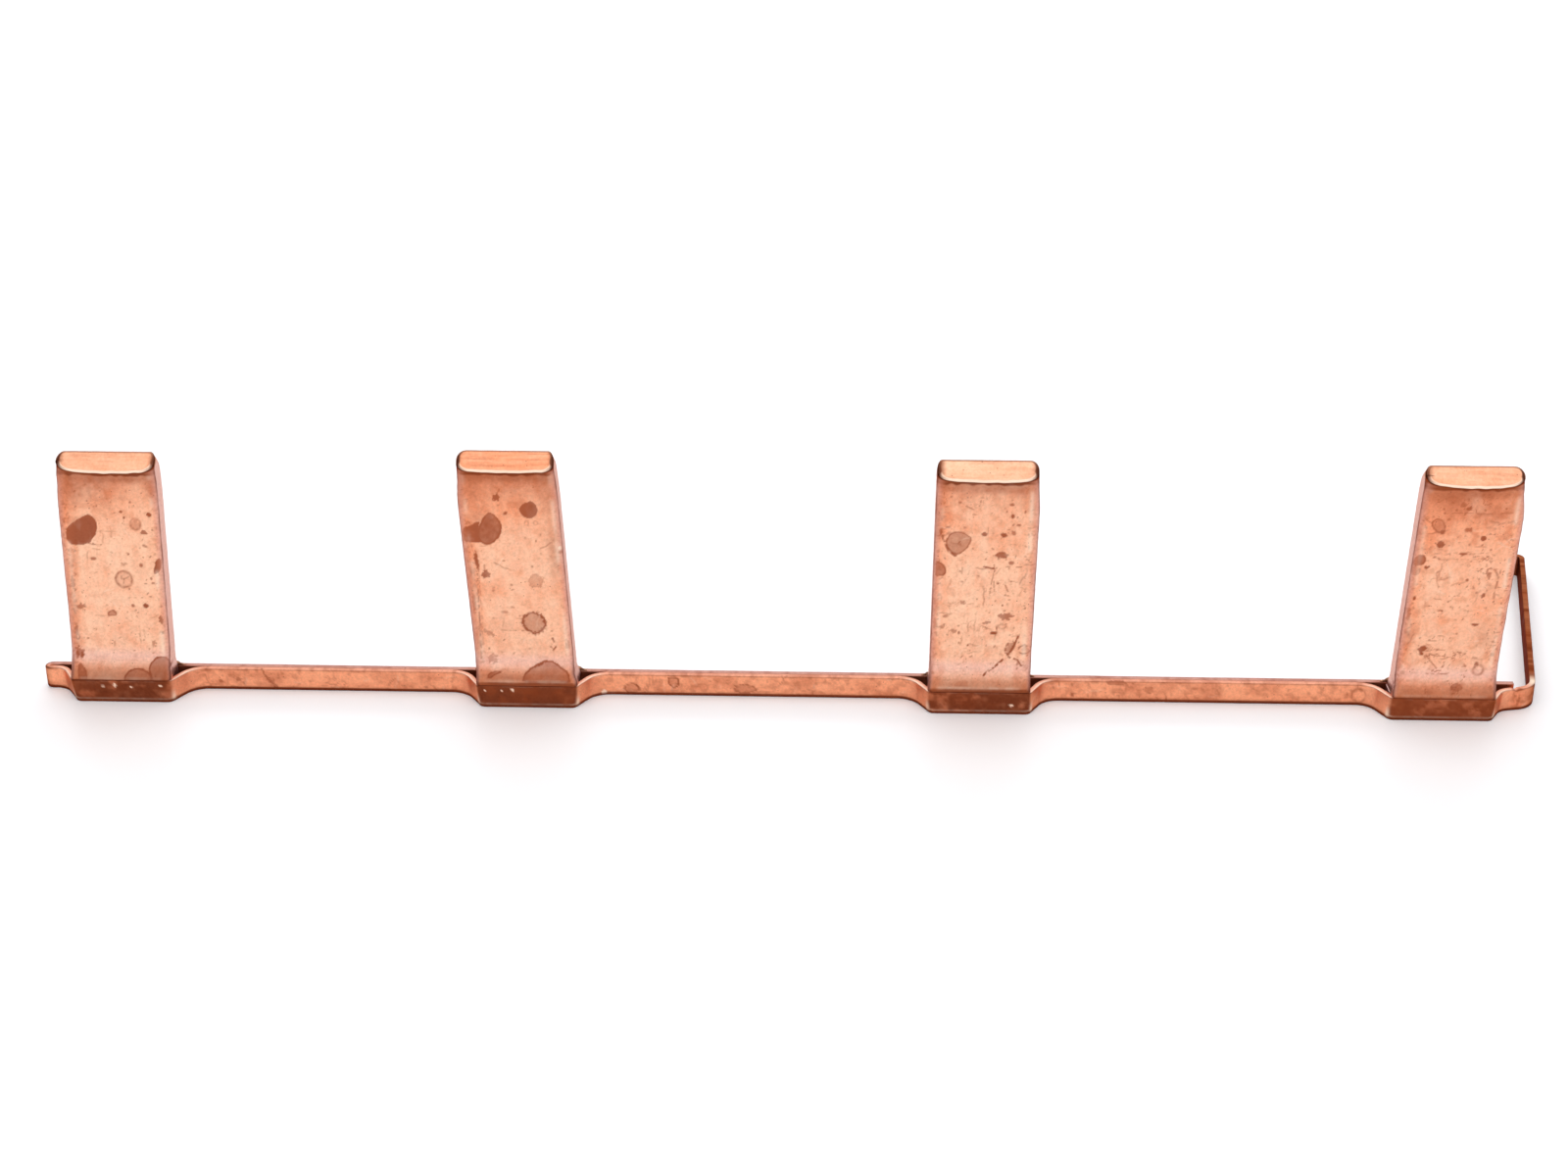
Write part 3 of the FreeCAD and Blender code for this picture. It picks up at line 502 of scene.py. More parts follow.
# how far each cut end narrows to its back edge, left and right
TAPER = {1: (1.00, 0.75), 2: (1.30, 0.75), 3: (0.65, 1.10), 4: (0.80, 1.40)}
# how much the worn sides and the end of each blade are narrowed, left and right
TRIM = {1: (0.0, 0.22), 2: (0.0, 0.34), 3: (0.12, 0.0), 4: (0.20, 0.0)}
NARROW = {1: (0.25, 0.10), 2: (0.45, 0.12), 3: (0.0, 0.32), 4: (0.0, 0.70)}
# height and strength of the painted highlight along the crease over the
# strip, and how crazed the front is
CREASE = {1: (3.06, 0.16), 2: (3.32, 0.26), 3: (3.30, 0.28), 4: (3.12, 0.12)}
CRAZED = {1: 0.14, 2: 0.14, 3: 0.28, 4: 0.70}
END_TONE = {1: 0.50, 2: 0.80, 3: 0.25, 4: 0.45}   # how orange each cut end is
# how many specks and scratches the front of each blade has, how mottled it is
# and how orange
FRONT_WEAR = {1: (90, 16, 0.08, 0.00), 2: (45, 10, 0.08, 0.14),
              3: (130, 34, 0.11, 0.02), 4: (130, 36, 0.16, 0.24)}

# ---------------------------------------------------------------- blades ---
NF, NS, NC = 99, 13, 8            # points on a face, a side and a corner
AROUND = 2 * NF + 2 * NS + 4 * NC
HALF_SIDE = NS // 2
FRONT_RUN = np.arange(-HALF_SIDE - NC, NF + NC + HALF_SIDE)
BACK_RUN = FRONT_RUN[-1] + 1 + np.arange(len(FRONT_RUN))[::-1]


def web_front(z):
    """Front of a blade below the bend: hollow sweep, then the flat web."""
    d = np.clip(STRIP_H + SWEEP_H - z, 0.0, SWEEP_H)
    return WEB_Y - (SWEEP_R - np.sqrt(SWEEP_R ** 2 - d * d))


def outline(half, thick, left, right, rear, rear_right=None):
    """Rounded bar section: (across, from the back) points, front run first.
    left, right, rear and rear_right are the half axes of the corners."""
    (lx, lt), (rx, rt), (bx, bt) = left, right, rear
    cx, ct = rear_right or rear
    q = np.linspace(0, math.pi / 2, NC + 2)[1:-1]
    a = [np.linspace(-half + lx, half - rx, NF),
         half - rx + rx * np.sin(q), np.full(NS, half),
         half - cx + cx * np.cos(q), np.linspace(half - cx, -half + bx, NF),
         -half + bx - bx * np.sin(q), np.full(NS, -half),
         -half + lx - lx * np.cos(q)]
    t = [np.full(NF, thick), thick - rt + rt * np.cos(q),
         np.linspace(thick - rt, ct, NS), ct - ct * np.sin(q), np.zeros(NF),
         bt - bt * np.cos(q), np.linspace(bt, thick - lt, NS),
         thick - lt + lt * np.sin(q)]
    return np.concatenate(a), np.concatenate(t)


def weights():
    """How far each point of the outline belongs to the front, the sides, the
    back and the rounded front edges."""
    q = np.linspace(0, 1, NC + 2)[1:-1]
    one, zero, flat = np.ones, np.zeros, np.concatenate
    front = flat([one(NF), 1 - q, zero(NS), zero(NC), zero(NF), zero(NC), zero(NS), q])
    back = flat([zero(NF), zero(NC), zero(NS), q, one(NF), 1 - q, zero(NS), zero(NC)])
    arc = np.sin(math.pi * q)
    edge = flat([zero(NF), arc, zero(NS), zero(NC), zero(NF), zero(NC), zero(NS), arc])
    return front, 1 - front - back, back, edge


FRONT, SIDE, BACK, EDGE = weights()


def blade(number):
    cx, bend, lean, fall_l, fall_r, shade_strength = BLADES[number]
    seed = 100 * number
    half, mid = BLADE_W / 2, BLADE_T / 2
    tip = math.radians(45.0)
    foot = 0.15
    rings, us, vs, ends, rims = [], [], [], [], []

    def add(a, t, v, z=None, phi=None, out=0.0, front=None, end=0.0, rim=0.0):
        """Section points to the row frame, at height z or bend angle phi."""
        if phi is None:
            y = BACK_Y - t * (BACK_Y - front) / BLADE_T
            zz = z + 0 * a
        else:
            r = BEND_R + BLADE_T - t
            y = WEB_Y - BEND_R + r * math.cos(phi) - out * math.sin(phi)
            zz = bend + r * math.sin(phi) + out * math.cos(phi)
        x = cx + a + lean * np.maximum(zz - STRIP_H, 0) / (34.0 - STRIP_H)
        rings.append(np.stack([x, y, zz], -1))
        us.append(a)
        vs.append(v + 0 * a)
        ends.append(end + 0 * a)
        rims.append(rim + 0 * a)

    def dented(a, t, v):
        """Shallow hollows, ripples and waves of the worked faces and edges."""
        ripple = fbm(a * 0.40 + 3 * number, v * 0.30 + 0 * a, seed + 1, 3) - 0.5
        crown = 0.08 * np.abs(a / half) ** 4
        behind = fbm(a * 0.5, v * 0.4 + 0 * a, seed + 2, 3) - 0.5
        wave = 0.10 * (noise(v * 0.35 + 0 * a, np.sign(a) * 3, seed + 5) - 0.5) \
            + 0.05 * (noise(v * 1.9 + 0 * a, np.sign(a) * 5, seed + 6) - 0.5)
        t = t - FRONT * (crown + 0.10 * np.abs(ripple)) + BACK * 0.06 * np.abs(behind)
        a = a - np.sign(a) * (SIDE + 0.5 * EDGE) * (0.01 + np.abs(wave) * 0.6)
        return a, t

    base_a, base_t = outline(half, BLADE_T, (0.35, 0.35), (0.35, 0.35), (0.50, 0.5))

    def trimmed(a, low, high):
        cut_l, cut_r = (TRIM[number][i] * low + NARROW[number][i] * high for i in (0, 1))
        return np.where(a < 0, a * (1 - cut_l / half), a * (1 - cut_r / half))

    def shrunk(a, t, f):
        c = np.clip(a, -half + mid, half - mid)
        return a + (c - a) * f, t + (mid - t) * f

    def toe(f, z):
        """The toe is let in at the sides where the strip passes round it."""
        a, t = shrunk(base_a, base_t, f)
        y = BACK_Y - t * (BACK_Y - TOE_Y) / BLADE_T
        a = np.where(y < TOE_Y + 0.96, a * TOE_W / BLADE_W, a)
        over_l, over_r = SET_OVER[number]
        a = a + (over_l * (0.5 - a / BLADE_W) + over_r * (0.5 + a / BLADE_W)) * (1 - 0.75 * z / STRIP_H)
        add(a, t, z, z=z, front=TOE_Y)

    for f in (0.97, 0.6, 0.25):
        toe(f, 0.0)
    for x in np.linspace(0, math.pi / 2, 4):
        toe(foot * (1 - math.sin(x)) / mid, foot * (1 - math.cos(x)))
    for z in np.linspace(0.4, STRIP_H + 0.005, 12):
        toe(0.0, z)
    # the sweep starts as a thin lip over the strip
    for z in np.concatenate([[STRIP_H + 0.010, STRIP_H + 0.05],
                             np.arange(STRIP_H + 0.15, bend, 0.135)]):
        near = step(bend - 6.0, bend, z)
        c = 0.35 + 0.15 * step(4.0, 9.0, z)
        w = 0.60 + 0.25 * step(3.2, 7.0, z) + 0.15 * near
        a, t = outline(half, BLADE_T, (w, c), (w, c), (0.50, 0.5))
        fade = step(STRIP_H, STRIP_H + 1.5, z)
        a2, t2 = dented(a, t, z)
        a, t = a + (a2 - a) * fade, t + (t2 - t) * fade
        a = trimmed(a, fade, step(bend - 3.0, bend + 2.6, z))
        add(a, t, z, z=z, front=web_front(z))
    # the turned tip
    last = tip - 0.15 / (BEND_R + mid)
    for phi in np.linspace(0, last, 34)[1:]:
        k = phi / last
        late = step(0.45, 1.0, k)
        bow_l, bow_r = BOW[number]
        left = (1.00 + (0.35 + 1.3 * fall_l) * late, 0.50 + (fall_l + bow_l) * late)
        right = (1.00 + (0.35 + 1.3 * fall_r) * late, 0.50 + (fall_r + bow_r) * late)
        in_l, in_r = TAPER[number]
        a, t = outline(half, BLADE_T, left, right,
                       (0.50 + (in_l - 0.5) * late, 0.5 + 0.85 * late),
                       (0.50 + (in_r - 0.5) * late, 0.5 + 0.85 * late))
        v = bend + BEND_R * phi
        a, t = dented(a, t, v)
        t = t - FRONT * late * np.where(a < 0, bow_l, bow_r) * (a / half) ** 2
        a = trimmed(a, 1.0, step(bend - 3.0, bend + 2.6, v))
        # the burr overhangs the front face a little
        t = t + FRONT * 0.16 * step(0.88, 1.0, k) * (0.7 + 0.5 * noise(a * 1.1, 0, seed + 11))
        add(a, t, v, phi=phi, rim=step(0.80, 1.0, k))
    # the cut end: each edge rounds over by its own radius, then the face
    edge_r = 0.14 * FRONT + 0.60 * SIDE + 0.30 * BACK
    v = bend + BEND_R * tip
    c = np.clip(a, -half + mid, half - mid)
    far = np.maximum(np.hypot(a - c, t - mid), 0.05)
    jag = 0.80 + 0.35 * noise(a * 1.1, 0, seed + 13) + 0.25 * (noise(a * 6.0, 0, seed + 14) - 0.5)
    where = FRONT * step(5.9, 5.2, np.abs(a))

    def face(inset, out, end, rim):
        f = np.clip(inset / far, 0, 0.97)
        aa, tt = a + (c - a) * f, t + (mid - t) * f
        lip = 0.17 * jag * where * bump(inset, 0.16, 0.12)
        streaks = 0.04 * (fbm(aa * 0.35, tt * 2.6, seed + 21, 3) - 0.5) * step(0.3, 0.7, f)
        add(aa, tt, v, phi=tip, out=out + lip + streaks - 0.03, end=end, rim=rim)

    for x in np.linspace(0, math.pi / 2, 8)[1:]:
        face(edge_r * (1 - math.cos(x)), edge_r * (math.sin(x) - 1), step(0.9, 1.57, x),
             step(1.57, 1.15, x))
    for f in np.linspace(0, 1, 17)[1:]:
        face(edge_r + (far - edge_r) * f, 0.0, 1.0, 0.0)

    rings = np.array(rings)
    u, v, end, rim = (np.array(q) for q in (us, vs, ends, rims))
    wide = np.abs(u)
    on_face = 1 - end
    front = FRONT * on_face
    film, glint = marks_on(u, v, MARKS[number], seed)
    film = np.clip(1.28 * film, 0, 0.96)
    n_specks, n_lines, patched, base = FRONT_WEAR[number]
    specks = peppered(u, v, (-5.8, 6.0, 5.8, bend), n_specks, (0.05, 0.16), seed + 31)
    edgy = peppered(u, v, (-6.1, 4.0, -5.0, bend - 1), 95, (0.06, 0.22), seed + 32) \
        + peppered(u, v, (5.0, 4.0, 6.1, bend - 1), 70, (0.06, 0.20), seed + 33)
    dark_lines, light_lines = scratched(u, v, (-5.5, 7.0, 5.5, bend - 4), n_lines, seed + 35)
    cloud = fbm(u * 0.33, v * 0.33, seed + 41, 4)
    mottle = fbm(u * 1.1, v * 1.1, seed + 51, 4)
    bloom = fbm(u * 0.8, v * 0.6, seed + 53, 4)
    brushed = step(0.52, 0.78, fbm(u * 0.45, v * 4.5, seed + 55, 3)) * step(STRIP_H + 5.5, STRIP_H + 2.5, v)
    # besides specks, scratches and mottling, the rounded front edges get brown painted shade
    film = 1 - (1 - film) * (1 - 0.98 * specks) * (1 - np.where(u < 0, 0.75, 0.50) * np.clip(edgy, 0, 1)) \
        * (1 - patched * step(0.52, 0.76, mottle)) * (1 - 1.0 * dark_lines) * (1 - 0.12 * brushed) \
        * (1 - np.clip(0.40 * EDGE * (0.40 + 0.8 * mottle) * np.where(u < 0, 1.0, 0.55), 0, 1))
    ridge = 1 - np.abs(2 * fbm(u * 0.75, v * 1.35, seed + 63, 4) - 1)
    crazed = step(0.945, 0.985, ridge) * step(0.45, 0.62, fbm(u * 0.5, v * 0.5, seed + 65, 3))
    film = 1 - (1 - film) * (1 - CRAZED[number] * crazed)
    # painted shade: dark brown below the burr and darker towards the upper end;
    # low in the sweep down to the strip, heat tint with painted shade in the hollow
    top = bend + BEND_R * tip
    down = top - v + 0.35 * (noise(u * 1.6, v * 0.5, seed + 44) - 0.5)
    under_burr_shade = 0.66 * step(1.02, 0.66, down) + 0.34 * step(2.3, 0.9, down)
    upper_shade = shade_strength * step(bend - 10.0, bend + 1.0, v) * np.clip(0.35 + 1.3 * cloud - 0.035 * u, 0, 1)
    shade_near_tip = np.clip(0.34 * step(bend - 3.5, bend + 0.8, v) * (0.4 + cloud), 0, 1) * shade_strength
    low = np.clip((STRIP_H + 2.4 - v) / 2.4, 0, 1) ** 2.0
    film = 1 - (1 - film) * (1 - 0.16 * upper_shade * step(0.3, 0.7, mottle)) * (1 - shade_near_tip)
    film = film * np.sqrt(front)
    heat_and_shade = front * (0.95 * under_burr_shade + 0.64 * low * (0.55 + 0.8 * mottle))
    crease_at, crease_highlight = CREASE[number]
    # below the crease the lip is painted dark like the toes (heat tint with painted dark reflection); along the crease
    # runs a painted highlight
    heat_and_shade = heat_and_shade + front * 0.80 * step(crease_at + 0.02, crease_at - 0.22, v) * (0.65 + 0.5 * mottle)
    crease_highlight = crease_highlight * bump(v, crease_at + 0.06, 0.12) * step(5.4, 4.6, wide) \
        * (0.45 + 0.55 * step(0.25, 0.60, fbm(u * 1.1, 0 * u, seed + 61, 2)))
    # a painted dark line of shade along the rounded front edges
    line = bump(FRONT, 0.20, 0.16) * (EDGE > 0) * on_face
    heat_and_shade = heat_and_shade + 0.72 * line * (0.60 + 0.6 * noise(v * 0.8, np.sign(u), seed + 43))
    # painted shade darkens and dulls the rounded ends of the cut face and its back edge
    heat_and_shade = heat_and_shade + rim * np.clip(0.80 * (SIDE + 0.8 * EDGE) + 0.55 * BACK, 0, 0.85)
    grain = fbm(u * 0.28, rings[..., 2] * 6.0, seed + 57, 3)
    heat_and_shade = heat_and_shade + (0.22 if number == 2 else 0.13) * end * step(0.52, 0.72, grain)
    # painted shade on the rounded sides of the cut end
    heat_and_shade = heat_and_shade + 0.72 * end * step(4.9, 5.7, wide) * (0.6 + 0.7 * mottle)
    # the back: plain, with joining heat above the filler
    heat_and_shade = heat_and_shade + 0.50 * BACK * on_face * step(STRIP_H + 4.0, STRIP_H + 0.8, v) * (0.3 + mottle)
    film = film + BACK * on_face * (0.16 * step(0.5, 0.75, mottle) + 0.20 * step(0.5, 0.8, cloud))
    # bright: painted highlights on the burr and inside the rounded front edges
    n_end = 23
    order = np.arange(len(u))[:, None] - (len(u) - n_end)
    burr_highlight = FRONT * step(6.0, 5.5, wide) * step(-0.5, 2.0, order) * step(9.5, 6.5, order)
    edge_highlight = bump(wide, 5.25, 0.30) * front * step(0.30, 0.70, noise(v * 0.5, np.sign(u) * 2, seed + 45))
    bright = 0.95 * burr_highlight + np.where(u < 0, 0.26, 0.40) * edge_highlight * step(STRIP_H + 1.5, STRIP_H + 4, v) * (1 - under_burr_shade)
    bright = bright + front * (glint + crease_highlight + 0.6 * light_lines + 0.08 * step(0.52, 0.72, bloom) * (1 - upper_shade) * (1 - low))
    bright = bright + 0.07 * end * step(0.46, 0.30, grain)
    heat_and_shade = heat_and_shade * (1 - burr_highlight)
    paint = np.stack([film, np.clip(heat_and_shade, 0, 0.94), bright], -1)
    # more orange towards the side edges, at the upper end and low in the sweep: painted shade; the rest is the metal's
    # own uneven tone
    orange = np.where(u < 0, 0.66, 0.16) * step(3.6, 5.9, wide) * (0.45 + 0.9 * cloud) * front
    orange = orange + (0.22 * step(0.5, 0.8, cloud) + 0.14 * step(0.48, 0.7, mottle)) * front \
        + END_TONE[number] * end + 0.70 * upper_shade * front + 0.50 * step(STRIP_H + 2.2, STRIP_H + 0.9, v) * front
    orange = orange + base * front + 0.5 * EDGE * on_face + BACK * on_face * (0.5 * cloud + 0.4 * step(4.5, 6.0, wide))
    # pale pink on the sides and in a band across the sweep: painted reflection of the pale surroundings
    pale_reflection = 0.70 * SIDE * (1 - end) * (1 - rim) + 0.36 * bump(v, STRIP_H + 2.7, 0.9) * front
    tone = np.stack([orange, pale_reflection, 0.5 + 0.25 * (cloud - 0.5)], -1)
    return grid_piece("blade_%d_bar" % number, rings, (FRONT_RUN, BACK_RUN),
                      (FRONT_RUN, BACK_RUN), paint, tone)


# ----------------------------------------------------------------- strip ---


def strip_corners():
    half = STRIP_T / 2
    front, rear = half, STRIP_T + LAYER_GAP + half
    toe = -TOE_FRONT + half
    ang = math.radians(FLARE)
    corner = TOE_W / 2 + half * math.tan(ang / 2) + 0.07
    pts = [(90.341, 39.53, 0.0), (100.341, 39.53, 0.90), (92.45, 0.10, 2.80)]
    stub = rear - 1.0
    for k in (4, 3, 2, 1):
        x = BLADES[k][0] + OX
        left = front if k > 1 else stub
        right = front if k < 4 else front - 1.15
        pts += [(x + corner + (right - toe) / math.tan(ang), right, FLARE_R if k < 4 else 2.20),
                (x + corner, toe, CORNER_R), (x - corner, toe, CORNER_R),
                (x - corner - (left - toe) / math.tan(ang), left,
                 FLARE_R if k > 1 else 2.20)]
    pts += [(-91.25 + half, stub, 0.5), (-91.25 + half, rear, 0.5), (90.30, rear, 0.0)]
    return [(np.array([x - OX, y - OY]), r) for x, y, r in reversed(pts)]


def strip_line(pitch=0.20, rear_pitch=0.45, arc=0.085):
    """Stations on the strip's centre line: position and direction."""
    corners = strip_corners()
    out = []
    here = corners[0][0]
    for i in range(1, len(corners)):
        p, r = corners[i]
        final = i == len(corners) - 1
        a = p
        if not final:
            u = corners[i - 1][0] - p
            w = corners[i + 1][0] - p
            u, w = u / np.linalg.norm(u), w / np.linalg.norm(w)
            turn = math.pi - math.acos(np.clip(u @ w, -1, 1))
            a, b = p + u * r * math.tan(turn / 2), p + w * r * math.tan(turn / 2)
            m = (u + w) / np.linalg.norm(u + w)
            c = p + m * r / math.cos(turn / 2)
        d = a - here
        length = np.linalg.norm(d)
        if length > 1e-4:
            n = max(2, int(round(length / (rear_pitch if i == 1 else pitch))))
            for f in np.arange(n) / n:
                out.append((*(here + d * f), *(d / length)))
        if final:
            out.append((*a, *(d / length)))
            break
        n = max(6, int(round(r * turn / arc)))
        sign = np.sign(u[0] * w[1] - u[1] * w[0])
        for f in np.arange(n) / n:
            th = -sign * turn * f
            rot = np.array([[math.cos(th), -math.sin(th)], [math.sin(th), math.cos(th)]])
            out.append((*(c + rot @ (a - c)), *(rot @ (-u))))
        here = b
    return np.array(out)


# Marks on the face of the rail, in mm along the row and up from the table.
RAIL_MARKS = [
    ("spot", 0.55, 0.0, 0.4, -73.77, 1.13, 0.28, 0.22, 0),
    ("spot", 0.50, 0.0, 0.5, -71.65, 1.44, 0.50, 0.22, 5),
    ("line", 0.60, 0.22, ((-68.56, 2.85), (-67.95, 1.6), (-67.21, 0.3))),
    ("film", 0.50, 0.10, 0.06, ((-67.9, 1.6), (-67.2, 0.25), (-66.5, 0.2), (-67.3, 1.3))),
    ("spot", 0.30, 0.30, 0.15, -22.53, 0.9, 0.95, 0.72, 0),
    ("film", 0.34, 0.34, 0.06, ((-18.1, 2.6), (-16.7, 2.6), (-16.6, 1.6), (-17.3, 0.9), (-18.0, 1.5))),
    ("spot", 0.30, 0.24, 0.20, -8.54, 1.07, 1.45, 0.62, 0),
    ("spot", 0.45, 0.10, 0.30, 37.24, 2.62, 1.25, 0.34, 0),
    ("spot", 0.60, 0.0, 0.4, 31.81, 0.89, 0.24, 0.26, 0),
    ("spot", 0.50, 0.0, 0.4, 31.73, 2.30, 0.18, 0.16, 0),
    ("spot", 0.35, 0.15, 0.3, 41.13, 1.70, 0.60, 0.5, 0),
    ("ring", 0.55, 0.20, 66.89, 1.40, 0.95, 0.90),
    ("spot", 0.40, 0.0, 0.6, 85.35, 1.9, 0.20, 0.75, 8),
    ("spot", 0.40, 0.0, 0.6, 85.95, 1.2, 0.16, 0.70, -8),
    ("glint", 0.9, -26.07, 0.45, 0.42, 0.26),
]
TOE_GLINTS = [(-87.48, 2.15, 0.16), (-86.0, 2.31, 0.24), (-83.96, 2.07, 0.12),
              (-80.4, 2.26, 0.17), (-36.81, 2.41, 0.20), (-40.32, 2.22, 0.10),
              (-38.15, 2.26, 0.10), (24.15, 1.23, 0.22), (16.17, 0.97, 0.10)]


def strip():
    line = strip_line()
    half = STRIP_T / 2
    nf, ns, nc = 15, 5, 3
    q = np.linspace(0, math.pi / 2, nc + 2)[1:-1]

    def loop(inset, er):
        hi, lo, h = STRIP_H - inset, inset, half - inset
        r = max(er - inset, 0.01)
        n = [np.full(nf, h), h - r + r * np.cos(q), np.linspace(h - r, -h + r, ns),
             -h + r - r * np.sin(q), np.full(nf, -h), -h + r - r * np.cos(q),
             np.linspace(-h + r, h - r, ns), h - r + r * np.sin(q)]
        z = [np.linspace(lo + r, hi - r, nf), hi - r + r * np.sin(q), np.full(ns, hi),
             hi - r + r * np.cos(q), np.linspace(hi - r, lo + r, nf),
             lo + r - r * np.sin(q), np.full(ns, lo), lo + r - r * np.cos(q)]
        return np.concatenate(n), np.concatenate(z)

    around = 2 * nf + 2 * ns + 4 * nc
    run = np.hypot(*np.diff(line[:, :2], axis=0).T)
    arc = np.concatenate([[0], np.cumsum(run)])
    rings, side, height, along, index = [], [], [], [], []

    def add(i, inset, shift):
        x, y, dx, dy = line[i]
        gap = min(abs(x - BLADES[k][0]) for k in BLADES)
        n, z = loop(inset, 0.13 - 0.08 * float(step(6.0, 5.6, gap)) * (y < -19.0)
                    + 0.13 * float(step(-94.4, -95.5, x)) - 0.06 * (y > -15.0))
        s = arc[i] + 0 * z
        up = step(STRIP_H - 0.4, STRIP_H, z)
        z2 = z - up * 0.05 * fbm(s * 0.25, n, 5, 3)
        # a nick in the top edge just short of the leg
        nick = bump(x, 85.54, 0.22) * (y < -16 - 1.2) * up
        z2 = z2 - 0.22 * nick
        wob = 0.03 * np.abs(fbm(s * 0.3, z * 0.6, 8, 3) - 0.5)
        n2 = n - np.sign(n) * (wob + 0.004)
        over = 0.0
        if y < -17.4:
            for k, (over_l, over_r) in SET_OVER.items():
                over += over_l * bump(x, BLADES[k][0] - 6.0, 2.0) + over_r * bump(x, BLADES[k][0] + 6.0, 2.0)
        x2 = x + over * (1 - 0.75 * z / STRIP_H)
        rings.append(np.stack([x2 + dx * shift - dy * n2, y + dy * shift + dx * n2, z2], -1))
        side.append(n); height.append(z); along.append(s); index.append(i)

    end = len(line) - 1
    for inset in (half - 0.012, 0.2, 0.08, 0.03):
        add(0, inset, 0.0)
    for i in range(len(line)):
        add(i, 0.0, 0.03 if i == 0 else (-0.03 if i == end else 0.0))
    for inset in (0.03, 0.08, 0.2, half - 0.012):
        add(end, inset, 0.0)
    rings = np.array(rings)
    n, z, s = np.array(side), np.array(height), np.array(along)
    at = line[np.array(index)]
    x, y = at[:, :1] + 0 * n, at[:, 1:2] + 0 * n
    dirx = at[:, 2:3] + 0 * n
    fold = s[np.argmin(at[:, 0])][0]
    layer = (s > fold) & (y < -17.0 + 0.3)           # the front layer
    outer = step(0.05, -0.25, n)
    faced = outer * layer
    top, bottom = step(STRIP_H - 0.16, STRIP_H - 0.02, z), step(0.14, 0.02, z)
    toe = np.zeros(n.shape)
    near_toe = np.full(n.shape, 99.0)
    flare = np.zeros(n.shape)
    for k in BLADES:
        w = np.abs(x - BLADES[k][0])
        near_toe = np.minimum(near_toe, w)
        toe = np.maximum(toe, step(6.15, 5.90, w) * layer)
        flare = np.maximum(flare, step(5.9, 6.2, w) * step(9.4, 7.6, w) * layer)
    cloud = fbm(s * 0.30, z * 0.5, 61, 4)
    fine = fbm(s * 1.3, z * 1.5, 63, 3)
    film, glint = marks_on(x, z, RAIL_MARKS, 900)
    film, glint = film * faced * (1 - toe), glint * faced
    specks = peppered(x, z, (-90, 0.1, 88, 2.8), 160, (0.08, 0.20), 71) * faced
    lines, shine = scratched(x, z, (-90, 0.2, 88, 2.7), 120, 73)
    film = 1 - (1 - film) * (1 - 0.7 * specks) * (1 - 0.30 * step(0.5, 0.8, cloud)) \
        * (1 - 0.32 * step(0.5, 0.75, fine)) * (1 - 0.95 * lines * faced)
    turn = s[(s[:, 0] > fold) & (at[:, 0] > 86.0) & (at[:, 1] > -17.0)][0, 0]   # past the near corner
    leg = step(turn - 0.4, turn + 0.5, s)
    patchy = fbm(s * 0.7, z * 0.9, 65, 4)
    # the toe faces are painted dark brown: heat tint, with painted dark reflection standing in for a sloped face
    heat_and_shade = toe * outer * (np.where(np.abs(x + 35.1) < 8, 1.05, 0.97) + 0.30 * (fine - 0.5)
                          - np.where(np.abs(x + 35.1) < 8, 0.06, 0.32) * step(0.50, 0.72, patchy))
    heat_and_shade = heat_and_shade + leg * (0.97 * step(0.05, 0.25, n) * (1 - top) + 0.74 * top * (0.6 + 0.8 * fine)
                         + 0.90 * step(0.0, -0.2, n) * (1 - top))
    # painted shade on the outer side of the near corner and on the outside of the fold
    heat_and_shade = heat_and_shade + 0.50 * step(86.8, 88.0, x) * (s > fold) * outer * (1 - leg) * (0.5 + fine)
    heat_and_shade = heat_and_shade + 0.60 * step(-94.8, -95.6, x) * step(0.05, -0.25, n) * (0.5 + fine)   # outside of the fold
    film = film * (1 - 0.85 * flare)
    # painted shade in the pockets beside the blades
    heat_and_shade = heat_and_shade + 0.55 * step(0.05, 0.25, n) * step(10.0, 8.4, near_toe) * (y < -16.0) * (1 - top)
    # painted shade along the foot of the front layer, where it meets the table
    contact_shade = step(0.40, 0.26, z) * layer
    heat_and_shade = heat_and_shade + contact_shade
    # painted shade on the flares close to the blades
    heat_and_shade = heat_and_shade + 0.06 * flare * outer * step(7.4, 6.1, near_toe) * (0.5 + fine)
    # painted shade low on the faces of the rail and at the bottom edge
    heat_and_shade = heat_and_shade + 0.97 * step(0.56, 0.34, z + 0.15 * (fine - 0.5)) * faced * (1 - toe) + 0.5 * bottom
    # the top of the front layer is darkened only a little, that of the rear layer
    # more (painted shade); a painted dark line of shade runs between the top and the face
    heat_and_shade = heat_and_shade + np.where(layer, 0.05, 0.34) * top * (1 - leg)
    heat_and_shade = heat_and_shade + 0.60 * faced * bump(z, 2.75, 0.08) * (1 - toe) * (1 - flare) * (0.4 + fine)
    scorch = bump(x, 85.75, 0.75) * faced * (1 - contact_shade)
    heat_and_shade = heat_and_shade + 0.55 * scorch * step(0.42, 0.62, fbm(x * 1.6, z * 1.3, 81, 3))
    # painted glints on the toe faces
    spark = np.zeros(n.shape)
    for gx, gz, gr in TOE_GLINTS:
        spark = np.maximum(spark, step(1.3, 0.6, np.hypot(x - gx, (z - gz) * 1.25) / gr
                                       + 0.9 * (noise(x * 6, z * 6, 77) - 0.5)))
    spark = spark * toe * faced
